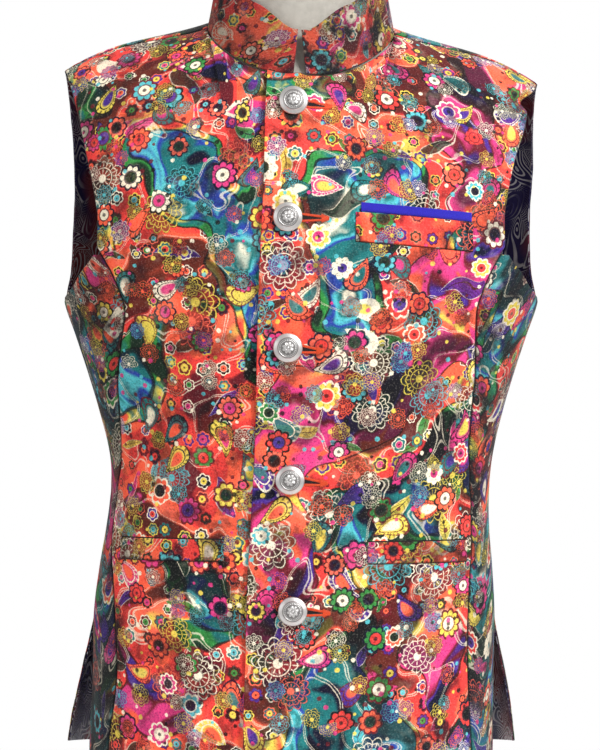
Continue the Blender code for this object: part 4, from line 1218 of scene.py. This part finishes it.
stitch_chance = stitch_node("FunctionNodeRandomValue", {"data_type": "FLOAT"}, {"Seed": 7})
stitch_least = stitch_node("ShaderNodeMath", {"operation": "SUBTRACT"},
                           {0: 1.0, 1: stitch_in.outputs[2]})
stitch_tree.links.new(stitch_least.outputs[0], stitch_chance.inputs[2])
stitch_chance.inputs[3].default_value = 1.0
stitch_length = stitch_node("ShaderNodeMath", {"operation": "MULTIPLY"},
                         {0: stitch_long.outputs[0], 1: stitch_chance.outputs[1]})
stitch_size = stitch_node("ShaderNodeCombineXYZ", {},
                          {0: stitch_length.outputs[0], 1: stitch_in.outputs[1],
                           2: stitch_in.outputs[1]})
stitch_set = stitch_node("GeometryNodeInstanceOnPoints", {},
                      {"Points": stitch_points.outputs[0], "Instance": stitch_ball.outputs[0],
                       "Rotation": stitch_turned.outputs[0], "Scale": stitch_size.outputs[0]})
stitch_real = stitch_node("GeometryNodeRealizeInstances", {}, {0: stitch_set.outputs[0]})
stitch_smooth = stitch_node("GeometryNodeSetShadeSmooth", {}, {0: stitch_real.outputs[0]})
stitch_paint = stitch_node("GeometryNodeSetMaterial", {},
                        {0: stitch_smooth.outputs[0], "Material": stitch_in.outputs[3]})
stitch_tree.links.new(stitch_paint.outputs[0], stitch_out.inputs[0])


THREAD_RADIUS = 0.46
UNEVEN_STITCHES = 0.22


def sew(name, places, ways, outs, halves, radius, material):
    """Stitches as a plain mesh: one at each place, along its way, of its half length."""
    rack = add_mesh(name + "_places", places, [])
    for label, kind, values in (("way", "FLOAT_VECTOR", ways), ("out", "FLOAT_VECTOR", outs)):
        held = rack.data.attributes.new(label, kind, "POINT")
        held.data.foreach_set("vector", np.array(values).reshape(-1))
    held = rack.data.attributes.new("long", "FLOAT", "POINT")
    held.data.foreach_set("value", np.array(halves) * 0.001)
    grown = rack.modifiers.new("stitches", "NODES")
    grown.node_group = stitch_tree
    grown[thread_socket.identifier] = radius * 0.001
    grown[uneven_socket.identifier] = UNEVEN_STITCHES
    grown[colour_socket.identifier] = material
    seen = rack.evaluated_get(bpy.context.evaluated_depsgraph_get())
    sewn = bpy.data.objects.new(name, bpy.data.meshes.new_from_object(seen))
    bpy.context.scene.collection.objects.link(sewn)
    bpy.data.objects.remove(rack, do_unlink=True)
    return sewn


BUTTONHOLES = ((28.7, -3.5), (30.8, -0.9), (26.5, -2.6), (28.0, -3.0), (28.0, -2.0))
holes = []
for number, ((x, z), (reach, drop)) in enumerate(zip(BUTTONS, BUTTONHOLES), start=1):
    places, ways, outs, halves = [], [], [], []
    mouth = {1.0: [], -1.0: []}
    for part in np.linspace(0.0, 1.0, 24):
        gap = 1.7 * (1.0 - part) ** 0.9 + 0.25
        along = x + 9.5 + (reach - 12.0) * part
        level = z + drop * (0.35 + 0.65 * part)
        for side in (1.0, -1.0):
            spot, way = on_panel(grids["left_front"], along, level + side * (gap + 1.1))
            across, _ = on_panel(grids["left_front"], along + 0.25, level + side * (gap + 2.1))
            places.append(spot + way * 0.4)
            ways.append((across - spot) / np.linalg.norm(across - spot))
            outs.append(way)
            halves.append(1.35)
            mouth[side].append((along, level + side * gap))
    for part in np.linspace(0.0, 1.0, 9):
        spot, way = on_panel(grids["left_front"], x + reach - 2.6 + 5.8 * part, z + drop)
        above, _ = on_panel(grids["left_front"], x + reach - 2.6 + 5.8 * part, z + drop + 1.0)
        places.append(spot + way * 0.7)
        ways.append(above - spot)
        outs.append(way)
        halves.append(4.6 - 2.2 * part)
    hole = sew("buttonhole_%d" % number, stand(places), ways, outs, halves, THREAD_RADIUS,
               thread_material)
    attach(hole, "root")
    # The slit between the stitch rows is a painted shadow strip.
    holes += [hole, painted_slit_shadow("buttonhole_slit_%d" % number, grids["left_front"],
                         mouth[-1.0], mouth[1.0])]

# Dress form: a limbless torso covered in unbleached linen, which stands on its flat foot.
# Its body stays clear of the cloth, and its shoulders reach up to just under the lining.
FORM = {
    "height": (0, 60, 150, 293, 380, 450, 510, 600, 640, 700),
    "half": (150, 156, 158, 148, 156, 166, 168, 166, 160, 150),
    "depth": (88, 94, 98, 92, 98, 104, 105, 105, 105, 105),
}
FORM_RINGS = (0, 4, 60, 120, 190, 250, 310, 370, 420, 465, 510, 550, 585, 612, 632, 648, 660,
              670, 679, 687, 695, 704, 720, 760)
FORM_CLEAR = 4.7
FORM_SIDES = 108
form_turns = np.radians(np.arange(0.0, 360.0, 10.0))


def under_shoulders(x, y, z):
    """Whether places lie under the jacket's own surface over the shoulders."""
    top = ridge_height(x)
    ridge = ridge_at(x)
    ahead = y < ridge
    part = np.clip((z - CHEST) / (top - CHEST), 0.0, 1.0)
    over = np.arcsin(part ** (1.0 / np.where(ahead, EASE["front"][1], EASE["back"][1])))
    inward = np.cos(np.radians(angle_at(x, CHEST_HALF))) ** (2.0 / ROUNDNESS)
    foot = np.where(ahead, FRONT_FOOT, BACK_FOOT) * inward
    ease = np.where(ahead, EASE["front"][0], EASE["back"][0])
    reach = np.abs(foot - ridge) * np.cos(over) ** ease
    return (z < top) & (np.abs(y - ridge) < reach)


def inside_form(x, y, z):
    """Where the form's own body lies, clear of the cloth around it."""
    sway = curve(SECTIONS, "sway", min(z, CHEST))
    spread = np.abs(x - sway) / curve(FORM, "half", z)
    within = spread ** ROUNDNESS + (np.abs(y) / curve(FORM, "depth", z)) ** ROUNDNESS <= 1.0
    if z > CHEST:
        out = np.where(y > ridge_at(x - sway), FORM_CLEAR, -FORM_CLEAR)
        for turn in (0.0, math.pi / 4.0, math.pi / 2.0):
            within &= under_shoulders(x - sway, y + out * math.cos(turn),
                                      z + FORM_CLEAR * math.sin(turn))
    return within


form_reach = []
for z in FORM_RINGS:
    near = np.zeros(36)
    far = np.full(36, 260.0)
    sway = curve(SECTIONS, "sway", min(z, CHEST))
    neck = 1.0 / np.hypot(np.cos(form_turns) / 61.0, np.sin(form_turns) / 52.0)
    for _ in range(24):
        middle = (near + far) / 2.0
        held = inside_form(sway + middle * np.cos(form_turns),
                           NECK_CENTRE + middle * np.sin(form_turns), z)
        near = np.where(held, middle, near)
        far = np.where(held, far, middle)
    reach = neck if z > 687 else np.maximum(near, neck) if z > CHEST + 80.0 else near
    form_reach.append(reach)
form_reach = np.array(form_reach)
for _ in range(2):
    around = (np.roll(form_reach, 1, axis=1) + np.roll(form_reach, -1, axis=1)) / 2.0
    form_reach = np.minimum(form_reach, form_reach * 0.5 + around * 0.5)
form_reach[0] -= 2.8
form_levels = np.array(FORM_RINGS + (793.0, 796.0, 798.4, 799.5, 800.0))
rounded = [form_reach[-1] - drop for drop in (0.0, 0.9, 2.6, 4.6, 7.0)]
form_reach = np.concatenate((form_reach, rounded))
fine_turns = np.radians(np.arange(0.0, 360.0, 10.0 / 3.0))
before = np.roll(form_reach, 1, axis=1)
after = np.roll(form_reach, -1, axis=1)
second = np.roll(form_reach, -2, axis=1)
columns = []
for part in (0.0, 1.0 / 3.0, 2.0 / 3.0):
    bend = ((form_reach - before) * (1.0 - part) - (second - after) * part
            + (form_reach - after) * (1.0 - 2.0 * part))
    straight = form_reach * (1.0 - part) + after * part
    columns.append(straight + 0.5 * part * (1.0 - part) * bend * 0.5)
fine_reach = np.stack(columns, axis=-1).reshape(len(form_levels), FORM_SIDES)
fine_levels = [form_levels[0]]
fine_rows = [fine_reach[0]]
for low in range(len(form_levels) - 1):
    steps = max(1, int((form_levels[low + 1] - form_levels[low]) / 14.0))
    for step in range(1, steps + 1):
        part = step / steps
        fine_levels.append(form_levels[low] * (1.0 - part) + form_levels[low + 1] * part)
        fine_rows.append(fine_reach[low] * (1.0 - part) + fine_reach[low + 1] * part)
form_points = []
for z, row in zip(fine_levels, fine_rows):
    sway = curve(SECTIONS, "sway", min(z, CHEST))
    form_points += [(sway + r * math.cos(t), NECK_CENTRE + r * math.sin(t), z)
                    for r, t in zip(row, fine_turns)]
form_faces = ring_faces(len(fine_levels) - 1, FORM_SIDES)
form_faces.append(tuple(range(FORM_SIDES - 1, -1, -1)))
form_faces.append(tuple(range((len(fine_levels) - 1) * FORM_SIDES, len(fine_levels) * FORM_SIDES)))
form = add_mesh("linen_form", stand(form_points), form_faces)
form.data.shade_smooth()
form.data.set_sharp_from_angle(angle=math.radians(60.0))

linen_material, linen_uv, linen_shader = new_material("linen", sheen=0.1)
linen_place = linen_uv.other("Object")
linen_sides = linen_place.node("SeparateXYZ", {}, {0: linen_place})
linen_about = linen_sides.other("Y").math("ARCTAN2", linen_sides)
linen_warp = (linen_about * 620.0).math("SINE")
linen_weft = (linen_sides.other("Z") * 7800.0).math("SINE")
linen_slub = linen_place.solid_noise(140.0, 4.0)
linen_weave = linen_warp * linen_weft * 0.5 + linen_slub
linen_colour = linen_weave.ramp([(0.0, tint(158, 152, 142)), (1.0, tint(208, 203, 193))])
finish_material(linen_uv, linen_shader, linen_colour, linen_slub * 0.15 + 0.8,
                linen_weave, 0.0003, 0.6)
form.data.materials.append(linen_material)
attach(form, "root")
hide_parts("dress_form")
